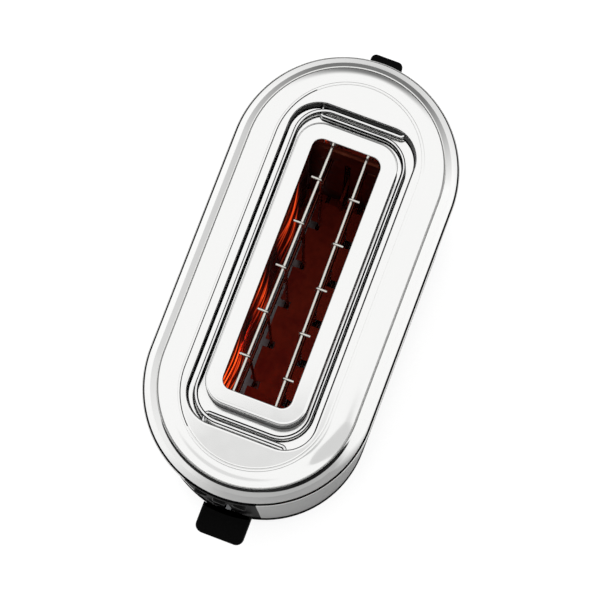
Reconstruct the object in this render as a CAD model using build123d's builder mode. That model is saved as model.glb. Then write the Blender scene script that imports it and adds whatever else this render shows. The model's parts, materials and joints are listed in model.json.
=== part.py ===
from build123d import *
import os
from math import cos, radians, sin, sqrt

# One-slice toaster. Millimetres; X runs along the body towards the carriage lever,
# Y across it, Z up, with the origin at the centre of the plane that the feet stand on.
# It is modelled while toasting: carriage latched down, roll wires folded into the well.

# Body
body_length = 249.0
body_width = 124.0
shell_wall = 1.0
foot_height = 4.0
foot_radius = 7.0
base_band = 12.0
base_proud = 0.7
base_floor = 2.5
base_wall = 4.0
lip_height = 10.0
lip_wall = 2.0
shell_height = 152.0
seat_gap = 0.2

# Top cover
cover_wall = 1.2
cover_gap = 0.3
cover_skirt = 4.0
shoulder_rise = 11.0
shoulder_radius = 7.5
ring_rise = 2.5
deck_rim_length = 17.0
deck_rim_width = 5.55
deck_step = 0.8
deck_edge = 0.5
well_gap_length = 10.8
well_gap_width = 7.35
well_corner = 17.0
well_depth = 11.3
well_lip = 1.0

# Collar and slot
collar_rim_length = 9.05
collar_rim_width = 8.9
collar_corner = 13.5
collar_rise = 5.7
collar_wall = 1.2
collar_edge = 2.0
collar_flange = 2.5
slot_length = 140.3
slot_width = 37.9
slot_corner = 5.5
slot_edge = 0.5
skirt_depth = 8.0
fit_gap = 0.3

# Toasting chamber
plate_wall = 1.2
chassis_wall = 1.0
chassis_gap = 1.0
liner_wall = 1.2
liner_inset = 0.95
liner_low = 34.0
chamber_gap = 1.65
shield_gap = 12.5
chamber_drop = 1.2
ledge_depth = 29.0
shield_wall = 1.0
flange_width = 8.0
crumb_opening_length = 136.0
crumb_opening_width = 40.0

# Heater cards and ribbons
card_gap = 3.05
card_wall = 1.0
card_bottom_rise = 18.0
card_height = 113.0
card_tab = 12.0
card_tab_rise = 15.0
ribbon_wall = 0.5
ribbon_height = 3.0
ribbon_bow = 2.6
ribbon_pitch = 17.5
ribbon_rows = 6
ribbon_first = 9.0
ribbon_margin = 4.8
ribbon_lead = 11.5
ribbon_post_pitch = 43.5

# Bread guides
guide_wire = 0.9
upright_wire = 0.8
stub_wire = 0.78
guide_inset = 8.15
guide_travel = 3.0
guide_depth = 12.0
guide_middle_drop = 40.0
guide_low_rise = 6.0
guide_overhang = 2.8
stub_inner = 1.4
stub_outer = 4.2
upright_pitch = 25.25
left_first_upright = -51.0
right_first_upright = -46.8
left_skew = 1.1
right_skew = -0.6
guide_slot_gap = 0.35

# Carriage
carriage_travel = 62.0
shelf_rise = 13.0
shelf_wall = 1.0
shelf_end_gap = 4.15
shelf_side_gap = 4.45
shelf_notch_width = 4.6
shelf_notch_gap = 2.8
web_wall = 1.6
web_height = 31.0
web_overhang = 3.8
web_slot_gap = 1.0
rod_gap = 13.8
rod_radius = 2.5
running_gap = 0.05
slider_length = 16.0
slider_width = 14.0
slider_height = 24.0
slider_rise = 29.0
lever_y = 2.0
arm_wall = 3.0
arm_height = 8.0
arm_slot_gap = 1.0
knob_projection = 17.7
knob_width = 28.8
knob_height = 12.0
knob_corner = 4.6
knob_clear = 1.8
rod_top_drop = 7.0
spring_y = -13.0
spring_radius = 3.5
spring_wire = 0.8
ear_wall = 3.0
armature_wall = 2.0
magnet_gap = 0.3

# Front panel and controls
panel_half_width = 19.8
panel_wall = 2.5
panel_recess = 0.3
panel_flange = 4.0
panel_flange_wall = 1.5
board_setback = 18.5
board_wall = 1.6
board_half_width = 30.0
board_boss_radius = 3.0
board_screw_radius = 1.2
board_screw_y = 16.0
board_screw_z = 38.0
board_screw_depth = 7.0
dial_z = 36.0
dial_radius = 12.5
dial_depth = 11.5
shaft_radius = 3.0
button_z = 148.0
button_pitch = 11.0
button_radius = 3.85
button_gap = 0.35
button_travel = 1.6
button_proud = 1.6
button_flange = 1.1

# Crumb tray
tray_half_width = 27.0
tray_height = 8.2
tray_wall = 1.0
tray_overlap = 3.0
tray_gap = 0.3

# Roll wires and their lift
bun_wire = 1.1
wire_small_bend = 2.0
outer_bar_gap = 4.35
inner_bar_gap = 4.7
outer_run_gap = 2.4
inner_run_gap = 5.6
outer_pivot_y = 24.0
inner_pivot_y = -21.5
outer_wire_drop = 3.8
inner_wire_drop = 6.6
wire_bend = 16.0
bush_radius = 1.9
bun_angle = 42.0
bun_travel = 11.0
crank_length = 14.0
crank_gap = 3.6
pin_length = 5.2
cam_wall = 1.2
cam_slot_gap = 0.4
cam_margin = 2.2
tongue_half_width = 8.0
guide_channel_low = 98.0
guide_channel_high = 132.0
channel_wall = 2.0
channel_lip = 1.5
tongue_low = 103.0
bun_knob_projection = 9.8
bun_knob_width = 18.2
bun_knob_height = 10.0
bun_knob_z = 141.0
bun_knob_corner = 3.0

# Fasteners and lead
base_screw_x = 88.0
base_screw_y = 34.0
screw_radius = 1.6
screw_head = 3.2
gland_turn = 220.0
gland_radius = 4.8
gland_bore = 3.4
gland_length = 8.4
gland_proud = 0.6
terminal_setback = 26.5
terminal_y = -29.0

# Lengths worked out from the sizes above
collar_length = slot_length + 2 * collar_rim_length
collar_width = slot_width + 2 * collar_rim_width
well_length = collar_length + 2 * well_gap_length
well_width = collar_width + 2 * well_gap_width
deck_length = well_length + 2 * deck_rim_length
deck_width = well_width + 2 * deck_rim_width
knob_reach = body_length / 2 + knob_projection
bun_knob_reach = body_length / 2 + bun_knob_projection
plate_inner = slot_length / 2 + chamber_gap
plate_back = plate_inner + liner_wall
plate_outer = plate_back + plate_wall
liner_width = slot_width - 2 * liner_inset
card_face = slot_width / 2 + card_gap
chamber_half_width = card_face + shield_gap
ribbon_end = plate_inner - ribbon_margin
ribbon_middle_posts = [ribbon_lead - ribbon_end + ribbon_post_pitch * index for index in range(3)]
ribbon_posts = [-ribbon_end, *ribbon_middle_posts, ribbon_end]
guide_offset = slot_width / 2 - guide_inset
guide_reach = plate_outer + guide_overhang
shelf_half_length = slot_length / 2 - shelf_end_gap
shelf_half_width = slot_width / 2 - shelf_side_gap
shelf_notch_inner = guide_offset - shelf_notch_gap
web_reach = plate_outer + web_overhang
rod_x = plate_outer + rod_gap
board_x = body_length / 2 - board_setback
terminal_x = terminal_setback - body_length / 2
tray_front = crumb_opening_length / 2 + tray_overlap
outer_bar_y = -(well_width / 2 - outer_bar_gap)
inner_bar_y = well_width / 2 - inner_bar_gap
outer_run_x = well_length / 2 - outer_run_gap
inner_run_x = well_length / 2 - inner_run_gap
crank_outer_x = -(well_length / 2 + crank_gap)
crank_end_x = crank_outer_x - pin_length
cam_x = crank_outer_x - pin_length / 2

# Heights worked out from the sizes above
base_bottom = foot_height
floor_top = base_bottom + base_floor
shell_bottom = base_bottom + base_band
lip_top = shell_bottom + lip_height
seam = shell_bottom + shell_height
chassis_top = lip_top + chassis_wall
crease = seam + shoulder_rise
ring_top = crease + ring_rise
deck_top = ring_top + deck_step
well_floor = deck_top - well_depth
collar_top = deck_top + collar_rise
flange_top = well_floor - cover_wall
flange_bottom = flange_top - collar_wall
plate_top = flange_bottom - chamber_drop
ledge_z = collar_top - ledge_depth
shelf_z = chassis_top + shelf_rise
web_top = shelf_z + shelf_wall + web_height
slider_bottom = chassis_top + slider_rise
guide_top_z = collar_top - guide_depth
guide_middle_z = guide_top_z - guide_middle_drop
guide_low_z = chassis_top + guide_low_rise
lever_z = slider_bottom + slider_height / 4
rod_top = plate_top - rod_top_drop
outer_wire_z = deck_top - outer_wire_drop
inner_wire_z = deck_top - inner_wire_drop
shell_end_radius = body_width / 2
shell_end_centre = body_length / 2 - shell_end_radius
cover_inset = shell_wall + cover_gap

os.makedirs("parts", exist_ok=True)


def save(piece, name):
    piece.part.label = name
    export_step(piece.part, "parts/" + name + ".step")


def end_x(inset, y):
    # Where the rounded end of the body, drawn in by inset, lies at a distance y off the middle.
    return shell_end_centre + sqrt((shell_end_radius - inset) ** 2 - y**2)


def crown(inset):
    # The domed top as a full solid, drawn in all round by inset.
    length = body_length - 2 * (cover_inset + inset)
    width = body_width - 2 * (cover_inset + inset)
    round_off = shoulder_radius - inset
    with BuildPart() as solid:
        with BuildSketch(Plane.XY.offset(seam - cover_skirt)):
            SlotOverall(length, width)
        extrude(amount=crease - inset - (seam - cover_skirt))
        fillet(solid.edges().group_by(Axis.Z)[-1], round_off)
        with BuildSketch(Plane.XY.offset(crease - inset)):
            SlotOverall(length - 2 * round_off, width - 2 * round_off)
        with BuildSketch(Plane.XY.offset(ring_top - inset)):
            SlotOverall(deck_length, deck_width)
        loft()
        with BuildSketch(Plane.XY.offset(ring_top - inset)):
            SlotOverall(deck_length - 2 * deck_edge, deck_width - 2 * deck_edge)
        extrude(amount=deck_step)
    return solid.part


with BuildPart() as feet:
    with BuildSketch():
        with GridLocations(body_length / 2, 2 * (body_width / 2 - 2.3 * foot_radius), 2, 2):
            Circle(foot_radius)
    extrude(amount=foot_height)
    chamfer(feet.edges().group_by(Axis.Z)[0], 0.8)
save(feet, "feet")

# The lead enters square to the rounded rear end, beside the crumb tray.
gland_out = Vector(cos(radians(gland_turn)), sin(radians(gland_turn)), 0)
gland_mouth = (
    Vector(-shell_end_centre, 0, base_bottom + base_band / 2)
    + gland_out * (shell_end_radius + base_proud + gland_proud)
)
gland_plane = Plane(origin=gland_mouth, z_dir=-gland_out)

with BuildPart() as base_moulding:
    outer_length = body_length + 2 * base_proud
    outer_width = body_width + 2 * base_proud
    lip_inset = 2 * (shell_wall + seat_gap)
    with BuildSketch(Plane.XY.offset(base_bottom)):
        SlotOverall(outer_length, outer_width)
    extrude(amount=base_band)
    fillet(base_moulding.edges().group_by(Axis.Z)[0], 2)
    with BuildSketch(Plane.XY.offset(shell_bottom)):
        SlotOverall(body_length - lip_inset, body_width - lip_inset)
    extrude(amount=lip_height)
    with BuildSketch(Plane.XY.offset(floor_top)):
        SlotOverall(body_length - lip_inset - 2 * lip_wall, body_width - lip_inset - 2 * lip_wall)
    extrude(amount=lip_top - floor_top, mode=Mode.SUBTRACT)
    with BuildSketch(Plane.XY.offset(floor_top)):
        with GridLocations(2 * base_screw_x, 2 * base_screw_y, 2, 2):
            Circle(screw_radius + 3)
    extrude(amount=lip_top - floor_top)
    with Locations(Plane.XY.offset(base_bottom)):
        with GridLocations(2 * base_screw_x, 2 * base_screw_y, 2, 2):
            Cylinder(
                screw_head + fit_gap, base_floor, align=(Align.CENTER, Align.CENTER, Align.MIN),
                mode=Mode.SUBTRACT,
            )
            Cylinder(
                screw_radius + seat_gap, lip_top - base_bottom,
                align=(Align.CENTER, Align.CENTER, Align.MIN), mode=Mode.SUBTRACT,
            )
    with BuildSketch(Plane.YZ.offset(-body_length / 2 - base_proud)):
        with Locations((0, floor_top + (tray_height + 2 * tray_gap) / 2)):
            Rectangle(2 * (tray_half_width + tray_gap + 0.4), tray_height + 2 * tray_gap)
    extrude(amount=shell_end_radius, mode=Mode.SUBTRACT)
    with BuildSketch(gland_plane):
        Circle(gland_radius)
    extrude(amount=gland_length, mode=Mode.SUBTRACT)
    rail_y = tray_half_width + tray_gap + 0.8
    with BuildSketch(Plane.XY.offset(floor_top)):
        with Locations((-12, rail_y), (-12, -rail_y)):
            Rectangle(2 * tray_front, 1.6)
    extrude(amount=tray_height)
save(base_moulding, "base_moulding")

with BuildPart() as cord_gland:
    with BuildSketch(gland_plane):
        Circle(gland_radius)
        Circle(gland_bore, mode=Mode.SUBTRACT)
    extrude(amount=gland_length)
save(cord_gland, "cord_gland")

with BuildPart() as body_shell:
    with BuildSketch(Plane.XY.offset(shell_bottom)):
        SlotOverall(body_length, body_width)
        SlotOverall(body_length - 2 * shell_wall, body_width - 2 * shell_wall, mode=Mode.SUBTRACT)
    extrude(amount=shell_height)
    with BuildSketch(Plane.YZ.offset(shell_end_centre)):
        with Locations((0, shell_bottom + shell_height / 2)):
            Rectangle(2 * (panel_half_width + seat_gap), shell_height)
    extrude(amount=body_length, mode=Mode.SUBTRACT)
    bun_slot_low = bun_knob_z - bun_travel - bun_knob_height / 2
    bun_slot_high = bun_knob_z + bun_knob_height / 2
    with BuildSketch(Plane.YZ.offset(-body_length / 2)):
        with Locations((0, (bun_slot_low + bun_slot_high) / 2)):
            SlotOverall(bun_slot_high - bun_slot_low, arm_wall + 2 * arm_slot_gap, rotation=90)
    extrude(amount=shell_end_radius / 2, mode=Mode.SUBTRACT)
save(body_shell, "body_shell")

with BuildPart() as front_panel:
    panel_height = shell_height - 2 * seat_gap
    with BuildSketch(Plane.XY.offset(shell_bottom + seat_gap)):
        SlotOverall(body_length - 2 * panel_recess, body_width - 2 * panel_recess)
        panel_back = panel_recess + panel_wall
        SlotOverall(body_length - 2 * panel_back, body_width - 2 * panel_back, mode=Mode.SUBTRACT)
        with Locations((body_length / 2, 0)):
            Rectangle(shell_end_radius, 2 * panel_half_width, mode=Mode.INTERSECT)
    extrude(amount=panel_height)
    with BuildSketch(Plane.XY.offset(chassis_top + fit_gap)):
        flange_front = shell_wall + seat_gap
        flange_back = flange_front + panel_flange_wall
        SlotOverall(body_length - 2 * flange_front, body_width - 2 * flange_front)
        SlotOverall(body_length - 2 * flange_back, body_width - 2 * flange_back, mode=Mode.SUBTRACT)
        with Locations((body_length / 2, 0)):
            Rectangle(
                shell_end_radius, 2 * (panel_half_width + panel_flange), mode=Mode.INTERSECT
            )
    extrude(amount=seam - cover_skirt - 2 * fit_gap - chassis_top)
    with BuildSketch(Plane.XY.offset(shell_bottom)):
        lip_front = shell_wall + seat_gap - fit_gap
        SlotOverall(body_length - 2 * lip_front, body_width - 2 * lip_front)
    extrude(amount=lip_height + chassis_wall + fit_gap, mode=Mode.SUBTRACT)
    with BuildSketch(Plane.XY.offset(seam - cover_skirt - fit_gap)):
        SlotOverall(body_length - 2 * shell_wall, body_width - 2 * shell_wall)
    extrude(amount=cover_skirt + fit_gap, mode=Mode.SUBTRACT)
    with BuildSketch(Plane.YZ.offset(board_x + board_wall)):
        with Locations((0, (shell_bottom + seam) / 2)):
            with GridLocations(2 * board_screw_y, 2 * board_screw_z, 2, 2):
                Circle(board_boss_radius)
    extrude(amount=end_x(panel_back, board_screw_y) - board_x - board_wall + 0.8)
    with BuildSketch(Plane.YZ.offset(board_x)):
        with Locations((0, (shell_bottom + seam) / 2)):
            with GridLocations(2 * board_screw_y, 2 * board_screw_z, 2, 2):
                Circle(board_screw_radius)
    extrude(amount=board_wall + board_screw_depth, mode=Mode.SUBTRACT)
    with BuildSketch(Plane.YZ.offset(board_x)):
        arm_low = lever_z - arm_height / 2 - arm_slot_gap
        arm_high = lever_z + carriage_travel + arm_height / 2 + arm_slot_gap
        with Locations((lever_y, (arm_low + arm_high) / 2)):
            Rectangle(arm_wall + 2 * arm_slot_gap, arm_high - arm_low)
        with Locations((0, dial_z)):
            Circle(shaft_radius + 1)
        with Locations((0, button_z)):
            with GridLocations(button_pitch, 1, 3, 1):
                Circle(button_radius + button_gap)
    extrude(amount=body_length, mode=Mode.SUBTRACT)
save(front_panel, "front_panel")

with BuildPart() as top_cover:
    add(crown(0))
    add(crown(cover_wall), mode=Mode.SUBTRACT)
    with BuildSketch(Plane.XY.offset(well_floor - cover_wall)):
        RectangleRounded(
            well_length + 2 * cover_wall, well_width + 2 * cover_wall, well_corner + cover_wall
        )
    extrude(amount=well_depth + cover_wall - deck_edge)
    with BuildSketch(Plane.XY.offset(well_floor)):
        RectangleRounded(well_length, well_width, well_corner)
    extrude(amount=well_depth + 1, mode=Mode.SUBTRACT)
    with BuildSketch(Plane.XY.offset(well_floor - cover_wall)):
        RectangleRounded(
            collar_length + 2 * fit_gap, collar_width + 2 * fit_gap, collar_corner + fit_gap
        )
    extrude(amount=well_depth, mode=Mode.SUBTRACT)
    deck_edges = top_cover.edges().group_by(Axis.Z)[-1]
    fillet([e for e in deck_edges if abs(e.center().X) < well_length / 2 + 1
            and abs(e.center().Y) < well_width / 2 + 1], well_lip)
    for side in (-1, 1):
        with BuildSketch(Plane.YZ.offset(side * (well_length / 2 + cover_wall / 2))):
            with Locations((outer_pivot_y, outer_wire_z), (inner_pivot_y, inner_wire_z)):
                Circle(bush_radius)
        extrude(amount=2 * cover_wall, both=True, mode=Mode.SUBTRACT)
save(top_cover, "top_cover")

with BuildPart() as bun_wire_bushes:
    for side in (-1, 1):
        with BuildSketch(Plane.YZ.offset(side * (well_length / 2 + cover_wall / 2))):
            with Locations((outer_pivot_y, outer_wire_z), (inner_pivot_y, inner_wire_z)):
                Circle(bush_radius)
                Circle(bun_wire + running_gap, mode=Mode.SUBTRACT)
        extrude(amount=cover_wall / 2 + 0.2, both=True)
save(bun_wire_bushes, "bun_wire_bushes")

with BuildPart() as slot_collar:
    with BuildSketch(Plane.XY.offset(flange_bottom)):
        RectangleRounded(
            collar_length + 2 * collar_flange, collar_width + 2 * collar_flange,
            collar_corner + collar_flange,
        )
    extrude(amount=collar_wall)
    with BuildSketch(Plane.XY.offset(flange_bottom)):
        RectangleRounded(collar_length, collar_width, collar_corner)
    extrude(amount=collar_top - flange_bottom)
    fillet(slot_collar.edges().group_by(Axis.Z)[-1], collar_edge)
    with BuildSketch(Plane.XY.offset(flange_bottom)):
        RectangleRounded(
            collar_length - 2 * collar_wall, collar_width - 2 * collar_wall,
            collar_corner - collar_wall,
        )
    extrude(amount=collar_top - collar_wall - flange_bottom, mode=Mode.SUBTRACT)
    with BuildSketch(Plane.XY.offset(collar_top - skirt_depth)):
        RectangleRounded(
            slot_length + 2 * collar_wall, slot_width + 2 * collar_wall, slot_corner + collar_wall
        )
    extrude(amount=skirt_depth - collar_wall / 2)
    with BuildSketch(Plane.XY.offset(collar_top - skirt_depth)):
        RectangleRounded(slot_length, slot_width, slot_corner)
    extrude(amount=skirt_depth, mode=Mode.SUBTRACT)
    mouth = slot_collar.edges().group_by(Axis.Z)[-1]
    fillet([e for e in mouth if abs(e.center().X) < slot_length / 2 + 0.1
            and abs(e.center().Y) < slot_width / 2 + 0.1], slot_edge)
save(slot_collar, "slot_collar")

with BuildPart() as chassis_plate:
    chassis_inset = 2 * (shell_wall + chassis_gap)
    with BuildSketch(Plane.XY.offset(lip_top)):
        SlotOverall(body_length - chassis_inset, body_width - chassis_inset)
        Rectangle(crumb_opening_length, crumb_opening_width, mode=Mode.SUBTRACT)
        with GridLocations(2 * base_screw_x, 2 * base_screw_y, 2, 2):
            Circle(screw_radius, mode=Mode.SUBTRACT)
        with Locations((rod_x, 0)):
            Circle(rod_radius, mode=Mode.SUBTRACT)
    extrude(amount=chassis_wall)
save(chassis_plate, "chassis_plate")

with BuildPart() as base_screws:
    with GridLocations(2 * base_screw_x, 2 * base_screw_y, 2, 2):
        with Locations((0, 0, base_bottom + 0.4)):
            Cylinder(screw_head, base_floor - 0.4, align=(Align.CENTER, Align.CENTER, Align.MIN))
            Cylinder(screw_radius, lip_top + 4 - base_bottom, align=(Align.CENTER, Align.CENTER, Align.MIN))
save(base_screws, "base_screws")

# The two ends of the chamber: a plate with a thicker liner inside it, whose top is the bright ledge.
# Each has the carriage's slot, two slots for each bread guide, and slots for the heater cards' tabs.
guide_shift = guide_reach * sin(radians(left_skew))
guide_slot_low = guide_offset - guide_shift - guide_wire - guide_slot_gap
guide_slot_high = guide_offset + guide_shift + guide_travel + guide_wire + guide_slot_gap
web_slot_low = shelf_z - web_slot_gap
web_slot_high = web_top + carriage_travel + web_slot_gap
card_bottom = chassis_top + card_bottom_rise
card_tab_heights = [card_bottom + card_tab_rise, card_bottom + card_height - card_tab_rise]


def end_plate(side):
    with BuildPart() as plate:
        with BuildSketch(Plane.YZ.offset(side * plate_back)):
            with Locations((0, (chassis_top + plate_top) / 2)):
                Rectangle(2 * chamber_half_width, plate_top - chassis_top)
        extrude(amount=side * plate_wall)
        with BuildSketch(Plane.YZ.offset(side * plate_inner)):
            with Locations((0, (liner_low + ledge_z) / 2)):
                Rectangle(liner_width, ledge_z - liner_low)
        extrude(amount=side * liner_wall)
        with BuildSketch(Plane.XY.offset(chassis_top)):
            with Locations((side * (plate_back + flange_width / 2), 0)):
                Rectangle(flange_width, 2 * chamber_half_width)
        extrude(amount=plate_wall)
        with BuildSketch(Plane.YZ.offset(side * (plate_inner - 1))):
            with Locations((0, (web_slot_low + web_slot_high) / 2)):
                Rectangle(web_wall + 2 * web_slot_gap, web_slot_high - web_slot_low)
            for hand in (-1, 1):
                for height in (guide_low_z, guide_middle_z):
                    with Locations((hand * (guide_slot_low + guide_slot_high) / 2, height)):
                        SlotOverall(
                            guide_slot_high - guide_slot_low, 2 * (guide_wire + guide_slot_gap)
                        )
                for height in card_tab_heights:
                    with Locations((hand * (card_face + card_wall / 2), height)):
                        Rectangle(card_wall + 2 * seat_gap, card_tab + 2 * seat_gap)
        extrude(amount=side * (plate_outer - plate_inner + 2), mode=Mode.SUBTRACT)
    return plate


front_end_plate = end_plate(1)
rear_end_plate = end_plate(-1)
save(front_end_plate, "front_end_plate")
save(rear_end_plate, "rear_end_plate")


def heat_shield(side):
    with BuildPart() as shield:
        with BuildSketch(Plane.XZ.offset(-side * chamber_half_width)):
            with Locations((0, (chassis_top + plate_top) / 2)):
                Rectangle(2 * plate_outer, plate_top - chassis_top)
                with GridLocations(24, 12, 5, 3):
                    SlotOverall(14, 3, mode=Mode.SUBTRACT)
        extrude(amount=-side * shield_wall)
        with BuildSketch(Plane.XY.offset(chassis_top)):
            with Locations((0, side * (chamber_half_width + flange_width / 2))):
                Rectangle(2 * plate_outer, flange_width)
        extrude(amount=shield_wall)
    return shield


save(heat_shield(-1), "left_heat_shield")
save(heat_shield(1), "right_heat_shield")


def heater_card(side):
    with BuildPart() as card:
        with BuildSketch(Plane.XZ.offset(-side * card_face)):
            with Locations((0, card_bottom + card_height / 2)):
                Rectangle(2 * (plate_inner - seat_gap), card_height)
            for height in card_tab_heights:
                with Locations((0, height)):
                    Rectangle(2 * (plate_outer + 1), card_tab)
        extrude(amount=-side * card_wall)
    return card


save(heater_card(-1), "left_heater_card")
save(heater_card(1), "right_heater_card")


def heating_ribbon(side):
    # Level runs that bow off the card between the posts, joined end to end by upright links.
    with BuildPart() as ribbon:
        for row in range(ribbon_rows):
            low = card_bottom + ribbon_first + row * ribbon_pitch
            with BuildSketch(Plane.XY.offset(low)):
                for start, end in zip(ribbon_posts, ribbon_posts[1:]):
                    near = side * card_face
                    far = side * (card_face - ribbon_wall)
                    bow = -side * ribbon_bow
                    with BuildLine():
                        back = ThreePointArc((start, near), ((start + end) / 2, near + bow), (end, near))
                        front = ThreePointArc((start, far), ((start + end) / 2, far + bow), (end, far))
                        Line(back @ 0, front @ 0)
                        Line(back @ 1, front @ 1)
                    make_face()
            extrude(amount=ribbon_height)
        for row in range(ribbon_rows - 1):
            low = card_bottom + ribbon_first + row * ribbon_pitch
            link_x = ribbon_posts[-1] if row % 2 == 0 else ribbon_posts[0]
            inward = -1 if link_x > 0 else 1
            link_height = ribbon_pitch + ribbon_height
            with BuildSketch(Plane.XZ.offset(-side * (card_face - ribbon_wall))):
                with Locations((link_x - inward * ribbon_height / 2, low + link_height / 2)):
                    Rectangle(ribbon_height, link_height)
            extrude(amount=-side * ribbon_wall)
    return ribbon


save(heating_ribbon(-1), "left_heating_ribbon")
save(heating_ribbon(1), "right_heating_ribbon")


def upright_places(first):
    return [first + upright_pitch * index for index in range(5)]


def bread_guide(side, first, skew):
    # A grid of three long wires and five uprights whose tops bend outwards over the top wire.
    y = side * guide_offset
    stub_in = y - side * stub_inner
    stub_out = y + side * stub_outer
    with BuildPart() as grid:
        for height, reach in (
            (guide_top_z, plate_outer), (guide_middle_z, guide_reach), (guide_low_z, guide_reach)
        ):
            with BuildSketch(Plane.YZ.offset(-reach)):
                with Locations((y, height)):
                    Circle(guide_wire)
            extrude(amount=2 * reach)
        for x in upright_places(first):
            top = guide_top_z + guide_wire
            with BuildSketch(Plane.XY.offset(guide_low_z)):
                with Locations((x, y)):
                    Circle(upright_wire)
            extrude(amount=top + 0.3 - guide_low_z)
            with BuildSketch(Plane.XZ.offset(-stub_in)):
                with Locations((x, top)):
                    Circle(stub_wire)
            extrude(amount=stub_in - stub_out)
    return Rot(0, 0, skew) * grid.part


left_bread_guide = bread_guide(-1, left_first_upright, -left_skew)
left_bread_guide.label = "left_bread_guide"
export_step(left_bread_guide, "parts/left_bread_guide.step")
right_bread_guide = bread_guide(1, right_first_upright, -right_skew)
right_bread_guide.label = "right_bread_guide"
export_step(right_bread_guide, "parts/right_bread_guide.step")

with BuildPart() as bread_shelf:
    with BuildSketch(Plane.XY.offset(shelf_z)):
        Rectangle(2 * shelf_half_length, 2 * shelf_half_width)
        notch_length = shelf_half_width - shelf_notch_inner
        notch_y = shelf_notch_inner + notch_length / 2
        for side, first in ((-1, left_first_upright), (1, right_first_upright)):
            for x in upright_places(first):
                with Locations((x, side * notch_y)):
                    Rectangle(shelf_notch_width, notch_length, mode=Mode.SUBTRACT)
    extrude(amount=shelf_wall)
    for side in (-1, 1):
        with BuildSketch(Plane.XZ.offset(-web_wall / 2)):
            web_back = shelf_half_length - web_wall
            with Locations((side * (web_back + web_reach) / 2, (shelf_z + web_top) / 2)):
                Rectangle(web_reach - web_back, web_top - shelf_z)
        extrude(amount=web_wall)
save(bread_shelf, "bread_shelf")


def block(low, high, mode=Mode.ADD):
    # A box between two opposite corners, added to or cut from the piece being built.
    middle = [(a + b) / 2 for a, b in zip(low, high)]
    with Locations(tuple(middle)):
        Box(*[b - a for a, b in zip(low, high)], mode=mode)


slider_back = rod_x - slider_length / 2
slider_front = rod_x + slider_length / 2
slider_top = slider_bottom + slider_height
half_slider = slider_width / 2
lug_back = plate_outer + 1.2
spring_ear_reach = -spring_y + spring_radius + 0.5
armature_reach = 21.0
armature_bottom = slider_bottom - armature_wall
arm_back = rod_x + rod_radius + 1.5

with BuildPart() as carriage_slider:
    block((slider_back, -half_slider, slider_bottom), (slider_front, half_slider, slider_top))
    block((lug_back, -3.2, slider_bottom + 1), (slider_back, 3.2, web_top))
    block((rod_x - 5, -spring_ear_reach, slider_top - ear_wall), (rod_x + 5, -half_slider, slider_top))
    block(
        (rod_x - 6, half_slider, slider_bottom), (rod_x + 6, armature_reach, slider_bottom + ear_wall)
    )
    block(
        (lug_back, -web_wall / 2, slider_bottom), (web_reach, web_wall / 2, slider_top),
        mode=Mode.SUBTRACT,
    )
    block(
        (arm_back, lever_y - arm_wall / 2, lever_z - arm_height / 2),
        (slider_front, lever_y + arm_wall / 2, lever_z + arm_height / 2), mode=Mode.SUBTRACT,
    )
    with BuildSketch(Plane.XY.offset(slider_bottom)):
        with Locations((rod_x, 0)):
            Circle(rod_radius + running_gap)
    extrude(amount=slider_height, mode=Mode.SUBTRACT)
save(carriage_slider, "carriage_slider")

with BuildPart() as armature_plate:
    block(
        (rod_x - 6, half_slider + 1, armature_bottom), (rod_x + 6, armature_reach, slider_bottom)
    )
save(armature_plate, "armature_plate")

with BuildPart() as holding_magnet:
    magnet_y = (half_slider + 1 + armature_reach) / 2
    magnet_top = armature_bottom - magnet_gap
    block((rod_x - 7, magnet_y - 7, chassis_top), (rod_x + 7, magnet_y + 7, chassis_top + 3))
    with BuildSketch(Plane.XY.offset(chassis_top + 3)):
        with Locations((rod_x, magnet_y)):
            Circle(6.4)
    extrude(amount=magnet_top - chassis_top - 9)
    block((rod_x - 3.5, magnet_y - 3.5, chassis_top + 3), (rod_x + 3.5, magnet_y + 3.5, magnet_top))
save(holding_magnet, "holding_magnet")

arm_end = knob_reach - 4
with BuildPart() as lever_arm:
    block(
        (arm_back, lever_y - arm_wall / 2, lever_z - arm_height / 2),
        (arm_end, lever_y + arm_wall / 2, lever_z + arm_height / 2),
    )
save(lever_arm, "lever_arm")

with BuildPart() as lever_knob:
    with BuildSketch(Plane.XY.offset(lever_z - knob_height / 2)):
        with Locations((knob_reach - 15, lever_y)):
            RectangleRounded(30, knob_width, knob_corner)
        SlotOverall(
            body_length + 2 * knob_clear, body_width + 2 * knob_clear, mode=Mode.SUBTRACT
        )
    extrude(amount=knob_height)
    fillet(lever_knob.faces().sort_by(Axis.Z)[-1].edges(), 1.2)
    fillet(lever_knob.faces().sort_by(Axis.Z)[0].edges(), 1.2)
    block(
        (body_length / 2, lever_y - arm_wall / 2, lever_z - arm_height / 2),
        (arm_end, lever_y + arm_wall / 2, lever_z + arm_height / 2), mode=Mode.SUBTRACT,
    )
save(lever_knob, "lever_knob")

with BuildPart() as guide_rod:
    with BuildSketch(Plane.XY.offset(lip_top)):
        with Locations((rod_x, 0)):
            Circle(rod_radius)
    extrude(amount=rod_top - lip_top)
save(guide_rod, "guide_rod")

bracket_bottom = rod_top - ear_wall
with BuildPart() as rod_bracket:
    block((plate_outer, -spring_ear_reach, bracket_bottom), (rod_x + 6, 6, rod_top))
    block((plate_outer, -spring_ear_reach, bracket_bottom - 8), (plate_outer + 1.5, -5, rod_top))
    with BuildSketch(Plane.XY.offset(bracket_bottom)):
        with Locations((rod_x, 0)):
            Circle(rod_radius)
    extrude(amount=ear_wall, mode=Mode.SUBTRACT)
save(rod_bracket, "rod_bracket")

with BuildPart() as return_spring:
    with BuildSketch(Plane.XY.offset(slider_top)):
        with Locations((rod_x, spring_y)):
            Circle(spring_radius)
            Circle(spring_radius - spring_wire, mode=Mode.SUBTRACT)
    extrude(amount=bracket_bottom - slider_top)
save(return_spring, "return_spring")

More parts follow.
